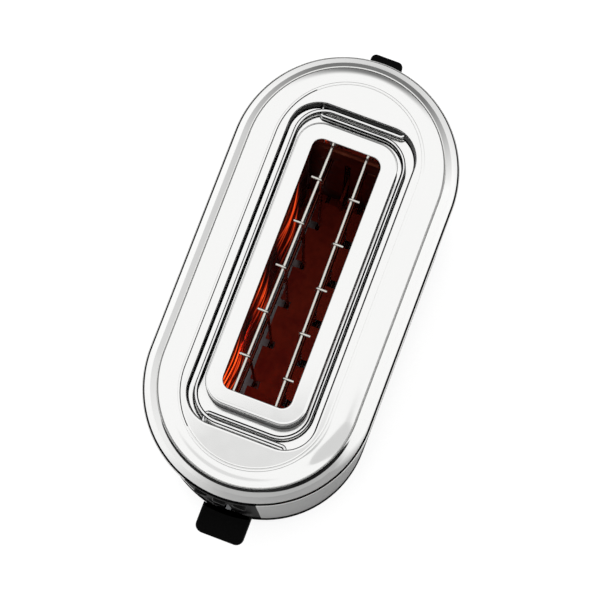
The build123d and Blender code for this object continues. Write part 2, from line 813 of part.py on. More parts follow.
board_low = chassis_top + 2
board_high = 160.0
with BuildPart() as control_board:
    block((board_x, -board_half_width, board_low), (board_x + board_wall, board_half_width, board_high))
    block((board_x - 9, 13, 96), (board_x, 27, 114))
    block((board_x - 5, -27, 60), (board_x, -17, 74))
    block((board_x - 3, -26, 132), (board_x, -20, 150))
    with BuildSketch(Plane.YZ.offset(board_x)):
        with Locations((21, 66), (21, 80)):
            Circle(4)
    extrude(amount=-8)
    block(
        (board_x - 1, lever_y - arm_wall / 2 - arm_slot_gap, arm_low),
        (board_x + board_wall + 1, lever_y + arm_wall / 2 + arm_slot_gap, arm_high),
        mode=Mode.SUBTRACT,
    )
    with BuildSketch(Plane.YZ.offset(board_x)):
        with Locations((0, (shell_bottom + seam) / 2)):
            with GridLocations(2 * board_screw_y, 2 * board_screw_z, 2, 2):
                Circle(board_screw_radius)
    extrude(amount=board_wall, mode=Mode.SUBTRACT)
save(control_board, "control_board")

with BuildPart() as board_screws:
    with BuildSketch(Plane.YZ.offset(board_x)):
        with Locations((0, (shell_bottom + seam) / 2)):
            with GridLocations(2 * board_screw_y, 2 * board_screw_z, 2, 2):
                Circle(2 * board_screw_radius)
    extrude(amount=-1.6)
    with BuildSketch(Plane.YZ.offset(board_x)):
        with Locations((0, (shell_bottom + seam) / 2)):
            with GridLocations(2 * board_screw_y, 2 * board_screw_z, 2, 2):
                Circle(board_screw_radius)
    extrude(amount=board_wall + board_screw_depth)
save(board_screws, "board_screws")

board_face = board_x + board_wall
pot_depth = 7.0
with BuildPart() as browning_pot:
    with BuildSketch(Plane.YZ.offset(board_face)):
        with Locations((0, dial_z)):
            Circle(6.8)
    extrude(amount=pot_depth)
    with BuildSketch(Plane.YZ.offset(board_face + 2)):
        with Locations((0, dial_z)):
            Circle(shaft_radius + running_gap)
    extrude(amount=pot_depth, mode=Mode.SUBTRACT)
save(browning_pot, "browning_pot")

dial_back = body_length / 2 + 0.6
dial_front = dial_back + dial_depth
shaft_end = dial_back + 7
with BuildPart() as control_shaft:
    with BuildSketch(Plane.YZ.offset(board_face + 2.3)):
        with Locations((0, dial_z)):
            Circle(shaft_radius)
    extrude(amount=shaft_end - board_face - 2.3)
save(control_shaft, "control_shaft")

with BuildPart() as browning_knob:
    with BuildSketch(Plane.YZ.offset(dial_back)):
        with Locations((0, dial_z)):
            Circle(dial_radius)
    extrude(amount=dial_depth)
    chamfer(browning_knob.edges().group_by(Axis.X)[-1], 1)
    with BuildSketch(Plane.YZ.offset(dial_front - 1)):
        with Locations((0, dial_z + dial_radius / 2)):
            Rectangle(1.4, dial_radius)
    extrude(amount=2, mode=Mode.SUBTRACT)
    with BuildSketch(Plane.YZ.offset(dial_back)):
        with Locations((0, dial_z)):
            Circle(shaft_radius)
    extrude(amount=shaft_end - dial_back, mode=Mode.SUBTRACT)
save(browning_knob, "browning_knob")

button_flange_wall = 1.2
switch_depth = 4.0
stem_end = board_face + switch_depth + button_travel + 0.4


def push_button(y):
    with BuildPart() as button:
        face = end_x(panel_recess, abs(y)) + button_proud
        behind = end_x(panel_back, abs(y) + button_radius + button_flange) - fit_gap
        with BuildSketch(Plane.YZ.offset(behind)):
            with Locations((y, button_z)):
                Circle(button_radius)
        extrude(amount=face - behind)
        fillet(button.edges().group_by(Axis.X)[-1], 0.8)
        with BuildSketch(Plane.YZ.offset(behind - button_flange_wall)):
            with Locations((y, button_z)):
                Circle(button_radius + button_flange)
        extrude(amount=button_flange_wall)
        with BuildSketch(Plane.YZ.offset(stem_end)):
            with Locations((y, button_z)):
                Circle(1.8)
        extrude(amount=behind - stem_end)
    return button


save(push_button(-button_pitch), "stop_button")
save(push_button(0), "defrost_button")
save(push_button(button_pitch), "reheat_button")

with BuildPart() as button_switches:
    for y in (-button_pitch, 0, button_pitch):
        block((board_face, y - 3, button_z - 3), (board_face + switch_depth, y + 3, button_z + 3))
save(button_switches, "button_switches")

with BuildPart() as crumb_tray:
    tray_bottom = floor_top + tray_gap
    with BuildSketch(Plane.XY.offset(tray_bottom)):
        SlotOverall(body_length + 2 * base_proud, body_width + 2 * base_proud)
        with Locations((tray_front - body_length / 2, 0)):
            Rectangle(body_length, 2 * tray_half_width, mode=Mode.INTERSECT)
    extrude(amount=tray_height)
    block(
        (end_x(base_wall, tray_half_width) * -1 + 1, -tray_half_width + tray_wall, tray_bottom + tray_wall),
        (tray_front - tray_wall, tray_half_width - tray_wall, tray_bottom + tray_height + 1),
        mode=Mode.SUBTRACT,
    )
    with BuildSketch(Plane.XZ.offset(-14)):
        with Locations((-body_length / 2 - base_proud, tray_bottom)):
            Circle(4)
    extrude(amount=28, mode=Mode.SUBTRACT)
save(crumb_tray, "crumb_tray")


def cam_slot(pivot_y, pivot_z, side):
    # The pin's path as the plate sees it: the crank swings past straight down as the plate drops.
    half = radians(bun_angle / 2)
    return ThreePointArc(
        (pivot_y + side * crank_length * sin(half), pivot_z - crank_length * cos(half)),
        (pivot_y, pivot_z - crank_length + bun_travel / 2),
        (pivot_y - side * crank_length * sin(half), pivot_z - crank_length * cos(half) + bun_travel),
    )


outer_slot = cam_slot(outer_pivot_y, outer_wire_z, 1)
inner_slot = cam_slot(inner_pivot_y, inner_wire_z, -1)
cam_hole = bun_wire + cam_slot_gap
cam_back = cam_x - cam_wall / 2
cam_front = cam_x + cam_wall / 2
bun_arm_end = -(bun_knob_reach - 3)
with BuildPart() as bun_slider:
    with BuildSketch(Plane.YZ.offset(cam_back)):
        SlotArc(outer_slot, 2 * (cam_hole + cam_margin))
        SlotArc(inner_slot, 2 * (cam_hole + cam_margin))
        with Locations((1.2, 163)):
            Rectangle(54, 7)
        with Locations((0, (tongue_low + 160) / 2)):
            Rectangle(2 * tongue_half_width, 160 - tongue_low)
        SlotArc(outer_slot, 2 * cam_hole, mode=Mode.SUBTRACT)
        SlotArc(inner_slot, 2 * cam_hole, mode=Mode.SUBTRACT)
    extrude(amount=cam_wall)
    block(
        (bun_arm_end, -arm_wall / 2, bun_knob_z - arm_height / 2),
        (cam_back, arm_wall / 2, bun_knob_z + arm_height / 2),
    )
save(bun_slider, "bun_slider")

with BuildPart() as bun_slider_guide:
    channel_half = tongue_half_width + fit_gap
    leg_half = channel_half + channel_wall
    back_wall_x = cam_front + fit_gap
    front_wall_x = cam_back - fit_gap
    channel_front = front_wall_x - channel_lip
    block((channel_front, -leg_half, guide_channel_low), (-plate_outer, leg_half, guide_channel_high))
    block(
        (front_wall_x, -channel_half, guide_channel_low), (back_wall_x, channel_half, guide_channel_high),
        mode=Mode.SUBTRACT,
    )
    block(
        (channel_front, -channel_half + 2.3, guide_channel_low),
        (front_wall_x, channel_half - 2.3, guide_channel_high), mode=Mode.SUBTRACT,
    )
    block(
        (back_wall_x + channel_lip, -channel_half, guide_channel_low),
        (-plate_outer, channel_half, guide_channel_high), mode=Mode.SUBTRACT,
    )
    for side in (-1, 1):
        low_y, high_y = sorted((side * leg_half, side * (leg_half + 6)))
        block((-plate_outer - 1.2, low_y, guide_channel_low), (-plate_outer, high_y, guide_channel_high))
save(bun_slider_guide, "bun_slider_guide")

with BuildPart() as bun_lever_knob:
    with BuildSketch(Plane.XY.offset(bun_knob_z - bun_knob_height / 2)):
        with Locations((-bun_knob_reach + 15, 0)):
            RectangleRounded(30, bun_knob_width, bun_knob_corner)
        SlotOverall(
            body_length + 2 * knob_clear, body_width + 2 * knob_clear, mode=Mode.SUBTRACT
        )
    extrude(amount=bun_knob_height)
    fillet(bun_lever_knob.faces().sort_by(Axis.Z)[-1].edges(), 1)
    fillet(bun_lever_knob.faces().sort_by(Axis.Z)[0].edges(), 1)
    block(
        (bun_arm_end, -arm_wall / 2, bun_knob_z - arm_height / 2),
        (-body_length / 2, arm_wall / 2, bun_knob_z + arm_height / 2), mode=Mode.SUBTRACT,
    )
save(bun_lever_knob, "bun_lever_knob")


def bun_rack_wire(bar_y, run_x, pivot_y, height, side):
    # A flat U of wire with an axle at each end, and a crank and pin beyond the rear axle.
    half = radians(bun_angle / 2)
    pin_y = pivot_y + side * crank_length * sin(half)
    pin_z = height - crank_length * cos(half)
    with BuildPart() as wire:
        with BuildLine() as path:
            FilletPolyline(
                (crank_end_x, pin_y, pin_z), (crank_outer_x, pin_y, pin_z),
                (crank_outer_x, pivot_y, height), (-run_x, pivot_y, height),
                (-run_x, bar_y, height), (run_x, bar_y, height),
                (run_x, pivot_y, height), (-crank_outer_x, pivot_y, height),
                radius=(*[wire_small_bend] * 3, wire_bend, wire_bend, wire_small_bend),
            )
        with BuildSketch(Plane(origin=(crank_end_x, pin_y, pin_z), z_dir=(1, 0, 0))):
            Circle(bun_wire)
        sweep(path=path.line)
    return wire


outer_bun_wire = bun_rack_wire(outer_bar_y, outer_run_x, outer_pivot_y, outer_wire_z, 1)
save(outer_bun_wire, "outer_bun_wire")
inner_bun_wire = bun_rack_wire(inner_bar_y, inner_run_x, inner_pivot_y, inner_wire_z, -1)
save(inner_bun_wire, "inner_bun_wire")

with BuildPart() as terminal_block:
    block(
        (terminal_x - 8, terminal_y - 11, chassis_top), (terminal_x + 8, terminal_y + 11, chassis_top + 5)
    )
    for y in (terminal_y - 7, terminal_y, terminal_y + 7):
        block((terminal_x - 6, y - 2.6, chassis_top + 5), (terminal_x + 6, y + 2.6, chassis_top + 13))
save(terminal_block, "terminal_block")
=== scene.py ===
import bmesh
import bpy
import json
import math
import mathutils
import numpy as np
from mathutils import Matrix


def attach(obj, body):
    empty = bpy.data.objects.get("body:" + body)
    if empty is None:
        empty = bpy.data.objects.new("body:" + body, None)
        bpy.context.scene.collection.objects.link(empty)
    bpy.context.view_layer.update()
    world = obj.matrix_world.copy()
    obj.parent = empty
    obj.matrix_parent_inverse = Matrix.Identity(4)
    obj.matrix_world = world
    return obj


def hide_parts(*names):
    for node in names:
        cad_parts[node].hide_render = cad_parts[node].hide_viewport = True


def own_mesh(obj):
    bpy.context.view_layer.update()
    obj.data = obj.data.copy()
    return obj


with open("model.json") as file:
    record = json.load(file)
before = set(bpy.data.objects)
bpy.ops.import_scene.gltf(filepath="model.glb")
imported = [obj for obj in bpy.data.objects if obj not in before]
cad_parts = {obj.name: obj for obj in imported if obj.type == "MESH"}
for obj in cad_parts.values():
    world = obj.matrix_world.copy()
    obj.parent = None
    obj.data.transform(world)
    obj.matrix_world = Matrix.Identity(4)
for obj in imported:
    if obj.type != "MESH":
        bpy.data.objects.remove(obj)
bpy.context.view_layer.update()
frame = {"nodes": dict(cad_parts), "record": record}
print("frame loaded:", len(frame["nodes"]), "nodes")


def linearColour(hexText):
    # sRGB hex to the linear values that the shaders take
    levels = np.array([int(hexText[i:i + 2], 16) for i in (0, 2, 4)]) / 255
    linear = np.where(levels <= 0.04045, levels / 12.92, ((levels + 0.055) / 1.055) ** 2.4)
    return (*linear.tolist(), 1.0)


def addNode(tree, kind, inputs=None, **settings):
    # settings are the node's own; inputs holds a value, or another node's output, for each socket
    node = tree.nodes.new(kind)
    for name, value in settings.items():
        setattr(node, name, value)
    for socket, value in (inputs or {}).items():
        if isinstance(value, bpy.types.NodeSocket):
            tree.links.new(value, node.inputs[socket])
        else:
            node.inputs[socket].default_value = value
    return node


def addObject(name, data):
    thing = bpy.data.objects.new(name, data)
    bpy.context.scene.collection.objects.link(thing)
    return thing


def fillRamp(ramp, stops):
    # stops are positions from 0 to 1, in order, each with a level of grey
    for _ in stops[1:-1]:
        ramp.color_ramp.elements.new(0.5)
    for element, (position, level) in zip(ramp.color_ramp.elements, stops):
        element.position = position
        element.color = (level, level, level, 1)


def startMaterial(name):
    material = bpy.data.materials.new(name)
    material.use_nodes = True
    material.node_tree.nodes.clear()
    return material, material.node_tree


# Materials. Noise scales are per metre, so 1000 over the size of the mark in millimetres.

def polishedStainless(name, rough, waviness):
    # 18/8 stainless steel, deep drawn and mirror buffed: sharp reflections that waver a little, from the
    # press, and a faint haze in patches, from the mop
    material, tree = startMaterial(name)
    place = addNode(tree, "ShaderNodeTexCoord").outputs["Object"]
    press = addNode(tree, "ShaderNodeTexNoise", {"Vector": place, "Scale": 24.0, "Detail": 1.0})
    mop = addNode(tree, "ShaderNodeTexNoise", {"Vector": place, "Scale": 130.0, "Detail": 3.0})
    haze = addNode(tree, "ShaderNodeMapRange", {
        "Value": mop.outputs[0], "From Min": 0.3, "From Max": 0.7, "To Min": rough * 0.8, "To Max": rough * 1.3})
    bump = addNode(tree, "ShaderNodeBump", {
        "Height": press.outputs[0], "Strength": waviness, "Distance": 0.0008})
    shader = addNode(tree, "ShaderNodeBsdfPrincipled", {
        "Base Color": linearColour("F3F3F2"), "Metallic": 1.0, "Roughness": haze.outputs[0],
        "Normal": bump.outputs[0]})
    addNode(tree, "ShaderNodeOutputMaterial", {"Surface": shader.outputs[0]})
    return material


def brushedStainless():
    # 18/8 stainless strip, brushed lengthwise by a belt: level hairlines that smear reflections upright.
    # Real ones are some 0.05 mm apart; they are drawn 0.3 mm apart, so that they show.
    material, tree = startMaterial("beltBrushedStainless")
    source = addNode(tree, "ShaderNodeTexCoord")
    place = addNode(tree, "ShaderNodeMapping", {"Vector": source.outputs["Object"], "Scale": (40, 40, 3400)})
    hair = addNode(tree, "ShaderNodeTexNoise", {"Vector": place.outputs[0], "Scale": 1.0, "Detail": 4.0})
    share = addNode(tree, "ShaderNodeMapRange", {"Value": hair.outputs[0], "From Min": 0.35, "From Max": 0.65})
    tone = addNode(tree, "ShaderNodeMix", {
        0: share.outputs[0], 6: linearColour("DADAD9"), 7: linearColour("ECECEB")}, data_type="RGBA")
    rough = addNode(tree, "ShaderNodeMapRange", {
        "Value": hair.outputs[0], "From Min": 0.3, "From Max": 0.7, "To Min": 0.3, "To Max": 0.4})
    bump = addNode(tree, "ShaderNodeBump", {"Height": hair.outputs[0], "Strength": 0.12, "Distance": 0.0001})
    shader = addNode(tree, "ShaderNodeBsdfPrincipled", {
        "Base Color": tone.outputs[2], "Metallic": 1.0, "Roughness": rough.outputs[0],
        "Normal": bump.outputs[0]})
    addNode(tree, "ShaderNodeOutputMaterial", {"Surface": shader.outputs[0]})
    return material


def coatedSteel(name, darkHex, paleHex, rough, patch):
    # Steel sheet or wire that was plated, aluminised or blued after rolling or drawing: a soft metal sheen with
    # cloudy patches, patch millimetres across, and a roughness that follows them
    material, tree = startMaterial(name)
    place = addNode(tree, "ShaderNodeTexCoord").outputs["Object"]
    cloud = addNode(tree, "ShaderNodeTexNoise", {"Vector": place, "Scale": 1000.0 / patch, "Detail": 4.0})
    share = addNode(tree, "ShaderNodeMapRange", {"Value": cloud.outputs[0], "From Min": 0.35, "From Max": 0.65})
    tone = addNode(tree, "ShaderNodeMix", {
        0: share.outputs[0], 6: linearColour(darkHex), 7: linearColour(paleHex)}, data_type="RGBA")
    haze = addNode(tree, "ShaderNodeMapRange", {
        "Value": cloud.outputs[0], "From Min": 0.3, "From Max": 0.7, "To Min": rough, "To Max": rough * 1.35})
    bump = addNode(tree, "ShaderNodeBump", {"Height": cloud.outputs[0], "Strength": 0.06, "Distance": 0.0002})
    shader = addNode(tree, "ShaderNodeBsdfPrincipled", {
        "Base Color": tone.outputs[2], "Metallic": 1.0, "Roughness": haze.outputs[0],
        "Normal": bump.outputs[0]})
    addNode(tree, "ShaderNodeOutputMaterial", {"Surface": shader.outputs[0]})
    return material


def downwardDarkenedWire():
    # Nickelled steel wire, drawn and plated: bright at the top of the slot, darker and browner further down
    material, tree = startMaterial("nickelledWire")
    place = addNode(tree, "ShaderNodeTexCoord").outputs["Object"]
    split = addNode(tree, "ShaderNodeSeparateXYZ", {0: place})
    cloud = addNode(tree, "ShaderNodeTexNoise", {"Vector": place, "Scale": 250.0, "Detail": 4.0})
    bright = addNode(tree, "ShaderNodeMapRange", {
        "Value": split.outputs[2], "From Min": 0.145, "From Max": 0.172})
    tone = addNode(tree, "ShaderNodeMix", {
        0: bright.outputs[0], 6: linearColour("5C2C22"), 7: linearColour("DEDBD4")}, data_type="RGBA")
    haze = addNode(tree, "ShaderNodeMapRange", {
        "Value": cloud.outputs[0], "From Min": 0.3, "From Max": 0.7, "To Min": 0.22, "To Max": 0.3})
    shader = addNode(tree, "ShaderNodeBsdfPrincipled", {
        "Base Color": tone.outputs[2], "Metallic": 1.0, "Roughness": haze.outputs[0]})
    addNode(tree, "ShaderNodeOutputMaterial", {"Surface": shader.outputs[0]})
    return material


def mouldedPlastic(name, darkHex, paleHex, rough, grain, depth, gloss=0.5):
    # Thermoplastic moulded against a spark-eroded steel: one colour through, kept matt by a fine grain.
    # grain is its spacing in millimetres, drawn at 0.5 or more, so that it shows; its pits hide some of the
    # sheen, so gloss is below 0.5 on the deep black pieces.
    material, tree = startMaterial(name)
    place = addNode(tree, "ShaderNodeTexCoord").outputs["Object"]
    speck = addNode(tree, "ShaderNodeTexNoise", {"Vector": place, "Scale": 1000.0 / grain, "Detail": 3.0})
    share = addNode(tree, "ShaderNodeMapRange", {"Value": speck.outputs[0], "From Min": 0.4, "From Max": 0.7})
    tone = addNode(tree, "ShaderNodeMix", {
        0: share.outputs[0], 6: linearColour(darkHex), 7: linearColour(paleHex)}, data_type="RGBA")
    bump = addNode(tree, "ShaderNodeBump", {"Height": speck.outputs[0], "Strength": depth, "Distance": 0.0002})
    shader = addNode(tree, "ShaderNodeBsdfPrincipled", {
        "Base Color": tone.outputs[2], "Roughness": rough, "IOR": 1.5, "Specular IOR Level": gloss,
        "Normal": bump.outputs[0]})
    addNode(tree, "ShaderNodeOutputMaterial", {"Surface": shader.outputs[0]})
    return material


def micaBoard():
    # Phlogopite mica, flaked, bonded and baked into a board: reddish brown with waxy flakes 4 mm across,
    # scorched darker in patches by the ribbons
    material, tree = startMaterial("bondedMica")
    place = addNode(tree, "ShaderNodeTexCoord").outputs["Object"]
    flake = addNode(tree, "ShaderNodeTexVoronoi", {"Vector": place, "Scale": 250.0})
    scorch = addNode(tree, "ShaderNodeTexNoise", {"Vector": place, "Scale": 30.0, "Detail": 5.0})
    share = addNode(tree, "ShaderNodeMapRange", {"Value": scorch.outputs[0], "From Min": 0.35, "From Max": 0.65})
    flaked = addNode(tree, "ShaderNodeMix", {
        0: flake.outputs["Distance"], 6: linearColour("7A3024"), 7: linearColour("94452F")}, data_type="RGBA")
    tone = addNode(tree, "ShaderNodeMix", {
        0: share.outputs[0], 6: flaked.outputs[2], 7: linearColour("55201A")}, data_type="RGBA")
    bump = addNode(tree, "ShaderNodeBump", {
        "Height": flake.outputs["Distance"], "Strength": 0.15, "Distance": 0.0002})
    shader = addNode(tree, "ShaderNodeBsdfPrincipled", {
        "Base Color": tone.outputs[2], "Roughness": 0.5, "IOR": 1.58, "Normal": bump.outputs[0]})
    addNode(tree, "ShaderNodeOutputMaterial", {"Surface": shader.outputs[0]})
    return material


def hotRibbon(name, power, places):
    # Iron-chrome resistance ribbon, rolled flat and run at red heat: orange in the middle of each span, where
    # it hangs clear of the board, down to black at the posts that cool it, and hottest near the top of the board.
    # places are values of X in metres with the heat there.
    material, tree = startMaterial(name)
    place = addNode(tree, "ShaderNodeTexCoord").outputs["Object"]
    split = addNode(tree, "ShaderNodeSeparateXYZ", {0: place})
    first, last = places[0][0], places[-1][0]
    along = addNode(tree, "ShaderNodeMapRange", {"Value": split.outputs[0], "From Min": first, "From Max": last})
    ramp = addNode(tree, "ShaderNodeValToRGB", {0: along.outputs[0]})
    ramp.color_ramp.interpolation = "EASE"
    fillRamp(ramp, [((x - first) / (last - first), heat) for x, heat in places])
    climb = addNode(tree, "ShaderNodeMapRange", {
        "Value": split.outputs[2], "From Min": 0.05, "From Max": 0.13, "To Min": 0.4, "To Max": 1.0})
    drift = addNode(tree, "ShaderNodeTexNoise", {"Vector": place, "Scale": 60.0, "Detail": 2.0})
    wander = addNode(tree, "ShaderNodeMapRange", {
        "Value": drift.outputs[0], "From Min": 0.3, "From Max": 0.7, "To Min": 0.5, "To Max": 1.15})
    higher = addNode(tree, "ShaderNodeMath", {0: ramp.outputs[0], 1: climb.outputs[0]}, operation="MULTIPLY")
    warmth = addNode(tree, "ShaderNodeMath", {0: higher.outputs[0], 1: wander.outputs[0]}, operation="MULTIPLY")
    glow = addNode(tree, "ShaderNodeMix", {
        0: warmth.outputs[0], 6: linearColour("960C05"), 7: linearColour("F4501A")}, data_type="RGBA")
    strength = addNode(tree, "ShaderNodeMapRange", {
        "Value": warmth.outputs[0], "From Min": 0.08, "From Max": 1.0, "To Min": 0.0, "To Max": power})
    shader = addNode(tree, "ShaderNodeBsdfPrincipled", {
        "Base Color": linearColour("3A1810"), "Metallic": 0.6, "Roughness": 0.5,
        "Emission Color": glow.outputs[2], "Emission Strength": strength.outputs[0]})
    addNode(tree, "ShaderNodeOutputMaterial", {"Surface": shader.outputs[0]})
    return material


def solderMask():
    # Epoxy-glass board under a green solder mask: semi-gloss, with the 1.5 mm weave just showing through
    material, tree = startMaterial("solderMaskedBoard")
    place = addNode(tree, "ShaderNodeTexCoord").outputs["Object"]
    weave = addNode(tree, "ShaderNodeTexWave", {"Vector": place, "Scale": 210.0, "Distortion": 0.5})
    tone = addNode(tree, "ShaderNodeMix", {
        0: weave.outputs["Fac"], 6: linearColour("1C4629"), 7: linearColour("265A36")}, data_type="RGBA")
    bump = addNode(tree, "ShaderNodeBump", {"Height": weave.outputs["Fac"], "Strength": 0.1, "Distance": 0.0001})
    shader = addNode(tree, "ShaderNodeBsdfPrincipled", {
        "Base Color": tone.outputs[2], "Roughness": 0.3, "IOR": 1.55, "Normal": bump.outputs[0]})
    addNode(tree, "ShaderNodeOutputMaterial", {"Surface": shader.outputs[0]})
    return material


finishes = {
    "cover": polishedStainless("buffedStainless", 0.07, 0.03),
    "wall": brushedStainless(),
    "bunWire": coatedSteel("chromedWire", "E4E4E4", "F4F4F3", 0.07, 6.0),
    "guideWire": downwardDarkenedWire(),
    "plated": coatedSteel("zincPlatedSheet", "8E9093", "B2B4B6", 0.3, 5.0),
    "chamber": coatedSteel("heatTintedSheet", "6A3428", "94543E", 0.38, 7.0),
    # paintedShade is a near-black matt finish put on faces of the cover and collar where shade and dark reflections
    # fall: painted shade
    "paintedShade": mouldedPlastic("blackPaintedShade", "020202", "070707", 0.4, 1.2, 0.05, 0.05),
    # the shelf's maroon is partly scorch on the steel and partly the ribbons' red glow, painted in
    "shelf": coatedSteel("scorchedSheetWithPaintedGlow", "6E2018", "9C3826", 0.42, 9.0),
    "rod": coatedSteel("groundRod", "BDBEC0", "D2D3D5", 0.14, 3.0),
    "spring": coatedSteel("springSteel", "6A6B6D", "8A8B8D", 0.3, 3.0),
    "magnet": coatedSteel("laminatedCore", "3E3028", "5A4638", 0.45, 3.0),
    "body": mouldedPlastic("sparkErodedPolyamide", "050505", "0C0C0D", 0.5, 0.7, 0.2, 0.04),
    "knob": mouldedPlastic("matteKnobPolyamide", "020202", "080808", 0.55, 0.8, 0.25, 0.05),
    "key": mouldedPlastic("satinKeyAbs", "060606", "0C0C0D", 0.34, 0.6, 0.1, 0.08),
    "bush": mouldedPlastic("blackAcetal", "141415", "1E1E1F", 0.34, 1.0, 0.08),
    "rubber": mouldedPlastic("siliconeRubber", "121212", "262626", 0.8, 2.5, 0.2),
    "nylon": mouldedPlastic("naturalNylon", "BDB8AA", "D2CEC2", 0.42, 4.0, 0.05),
    "ivory": mouldedPlastic("ivoryPhenolic", "C2BBA4", "D4CEB9", 0.34, 3.0, 0.05),
    "paint": mouldedPlastic("padPrintedInk", "D4D4D2", "E6E6E4", 0.5, 0.5, 0.05),
    "mica": micaBoard(),
    "leftRibbon": hotRibbon("hotRibbon", 2.3, (
        (-0.067, 0.0), (-0.055, 0.1), (-0.038, 0.9), (-0.024, 0.5), (-0.014, 0.0), (-0.003, 0.1), (0.008, 0.75),
        (0.018, 0.4), (0.026, 0.0), (0.036, 0.15), (0.048, 1.0), (0.067, 1.0))),
    "rightRibbon": hotRibbon("warmRibbon", 1.0, ((-0.067, 0.1), (0.067, 0.5))),
    "board": solderMask(),
}

# which finish each of the record's material slots has
slotFinishes = {
    "rubber": "rubber", "black_plastic": "body", "brushed_shell": "wall", "polished_cover": "cover",
    "polished_collar": "cover", "bush_plastic": "bush", "plated_steel": "plated", "screw_steel": "plated",
    "chamber_steel": "chamber", "mica": "mica", "glowing_ribbon": "leftRibbon", "guide_wire": "guideWire",
    "shelf_steel": "shelf", "slider_plastic": "nylon", "magnet_steel": "magnet", "knob_plastic": "knob",
    "rod_steel": "rod", "spring_steel": "spring", "circuit_board": "board", "pot_plastic": "key",
    "button_plastic": "key", "switch_plastic": "key", "tray_steel": "plated", "bun_wire_chrome": "bunWire",
    "terminal_plastic": "ivory",
}
for part in frame["record"]["subparts"]:
    mesh = frame["nodes"][part["node"]].data
    mesh.materials.clear()
    mesh.materials.append(finishes[slotFinishes[part["material_slot"]]])
# the floor under the slot gets the shelf's finish, browned like the chamber: its maroon is partly scorch and partly
# the ribbons' red glow, painted in
floorMesh = frame["nodes"]["chassis_plate"].data
floorMesh.materials.clear()
floorMesh.materials.append(finishes["shelf"])
print("materials on the nodes")


# Shapes. Points are worked out in millimetres and become metres in makeMesh.

def outlineRows(rows, steps):
    # Each row is half length a, half width b, corner radius r and height z. Its ring is four quarter circles,
    # x = +-(a - r) + r cos t and y = +-(b - r) + r sin t, with straight runs between them.
    a, b, r, z = np.asarray(rows, float).T[:, :, None]
    turn = np.linspace(0, np.pi / 2, steps + 1)[None, :]
    x = [side * (a - r) + r * np.cos(turn + q * np.pi / 2) for q, side in enumerate((1, -1, -1, 1))]
    y = [side * (b - r) + r * np.sin(turn + q * np.pi / 2) for q, side in enumerate((1, 1, -1, -1))]
    x, y = np.concatenate(x, 1), np.concatenate(y, 1)
    return np.stack([x, y, np.broadcast_to(z, x.shape)], 2)


def arcRows(start, end, count, fromTurn, toTurn):
    # Rows along an ellipse arc between two rows: sizes go with 1 - sin of the turn and height with its cosine,
    # both scaled so that the arc starts and ends on the two rows. Turn is the slope's angle in degrees.
    turn = np.radians(np.linspace(fromTurn, toTurn, count))[:, None]
    across = (np.sin(turn[0]) - np.sin(turn)) / (np.sin(turn[0]) - np.sin(turn[-1]))
    upward = (np.cos(turn) - np.cos(turn[0])) / (np.cos(turn[-1]) - np.cos(turn[0]))
    start, end = np.asarray(start, float), np.asarray(end, float)
    return start + (end - start) * np.concatenate([across, across, across, upward], 1)


def stackedOutline(outline, rows):
    # Each row is an inset and a height: the closed outline is drawn in along its own normals by the inset.
    along = np.roll(outline, -1, 0) - np.roll(outline, 1, 0)
    along /= np.linalg.norm(along, axis=1, keepdims=True)
    outward = np.stack([along[:, 1], -along[:, 0]], 1)
    rows = np.asarray(rows, float)
    flat = outline[None] - rows[:, 0, None, None] * outward[None]
    return np.concatenate([flat, np.broadcast_to(rows[:, 1, None, None], flat.shape[:2] + (1,))], 2)


def bentPath(corners, bends, steps):
    # Straight runs, with an arc of the given radius in place of each inner corner. The arc's centre lies on
    # the corner's bisector, and a point on it is centre + r (cos t u + sin t w), with w along the incoming run.
    corners = np.asarray(corners, float)
    pieces = [corners[:1]]
    for before, corner, after, bend in zip(corners, corners[1:], corners[2:], bends):
        toBefore = (before - corner) / np.linalg.norm(before - corner)
        toAfter = (after - corner) / np.linalg.norm(after - corner)
        half = math.acos(np.clip(toBefore @ toAfter, -1, 1)) / 2
        bisector = (toBefore + toAfter) / np.linalg.norm(toBefore + toAfter)
        centre = corner + bisector * bend / math.sin(half)
        start = (corner + toBefore * bend / math.tan(half) - centre) / bend
        turn = np.linspace(0, np.pi - 2 * half, steps)[:, None]
        pieces.append(centre + bend * (np.cos(turn) * start - np.sin(turn) * toBefore))
    pieces.append(corners[-1:])
    return np.concatenate(pieces)


def carried(path, section):
    # A closed section (u, v) carried along a path: each point is P + u U + v V, where U and V are square to
    # the path, U level with the ground as far as it can be.
    along = np.gradient(path, axis=0)
    along /= np.linalg.norm(along, axis=1, keepdims=True)
    side = np.cross(along, (0.013, 0.021, 1.0))
    side /= np.linalg.norm(side, axis=1, keepdims=True)
    up = np.cross(side, along)
    section = np.asarray(section, float)
    return path[:, None] + section[None, :, :1] * side[:, None] + section[None, :, 1:] * up[:, None]


def circle(radius, sides):
    turn = np.arange(sides) * 2 * np.pi / sides
    return np.stack([radius * np.cos(turn), radius * np.sin(turn)], 1)


def turned(profile, centre, sides, ribs=0, ribDepth=0.0):
    # A profile of radius and X turned about a line along X; ribs notch the radius by ribDepth |cos(ribs t / 2)|^3.
    profile = np.asarray(profile, float)
    turn = np.arange(sides) * 2 * np.pi / sides
    notch = ribDepth * np.abs(np.cos(turn * ribs / 2)) ** 3 if ribs else np.zeros(sides)
    radius = profile[:, :1] - notch[None] * profile[:, 2:3]
    x = np.broadcast_to(profile[:, 1:2], radius.shape)
    return np.stack([x, centre[0] + radius * np.cos(turn), centre[1] + radius * np.sin(turn)], 2)


def gridFaces(shape, closeRings, first):
    # Quads of a grid of rings by points, each ring closed. The last ring joins the first one, or else one face
    # closes each end. first is the number of the grid's first point.
    rings, points = shape[:2]
    index = first + np.arange(rings * points).reshape(rings, points)
    index = np.concatenate([index, index[:, :1]], 1)
    if closeRings:
        index = np.concatenate([index, index[:1]], 0)
    quads = np.stack([index[:-1, :-1], index[:-1, 1:], index[1:, 1:], index[1:, :-1]], 2).reshape(-1, 4).tolist()
    if not closeRings:
        quads += [index[0, -2::-1].tolist(), index[-1, :-1].tolist()]
    return quads


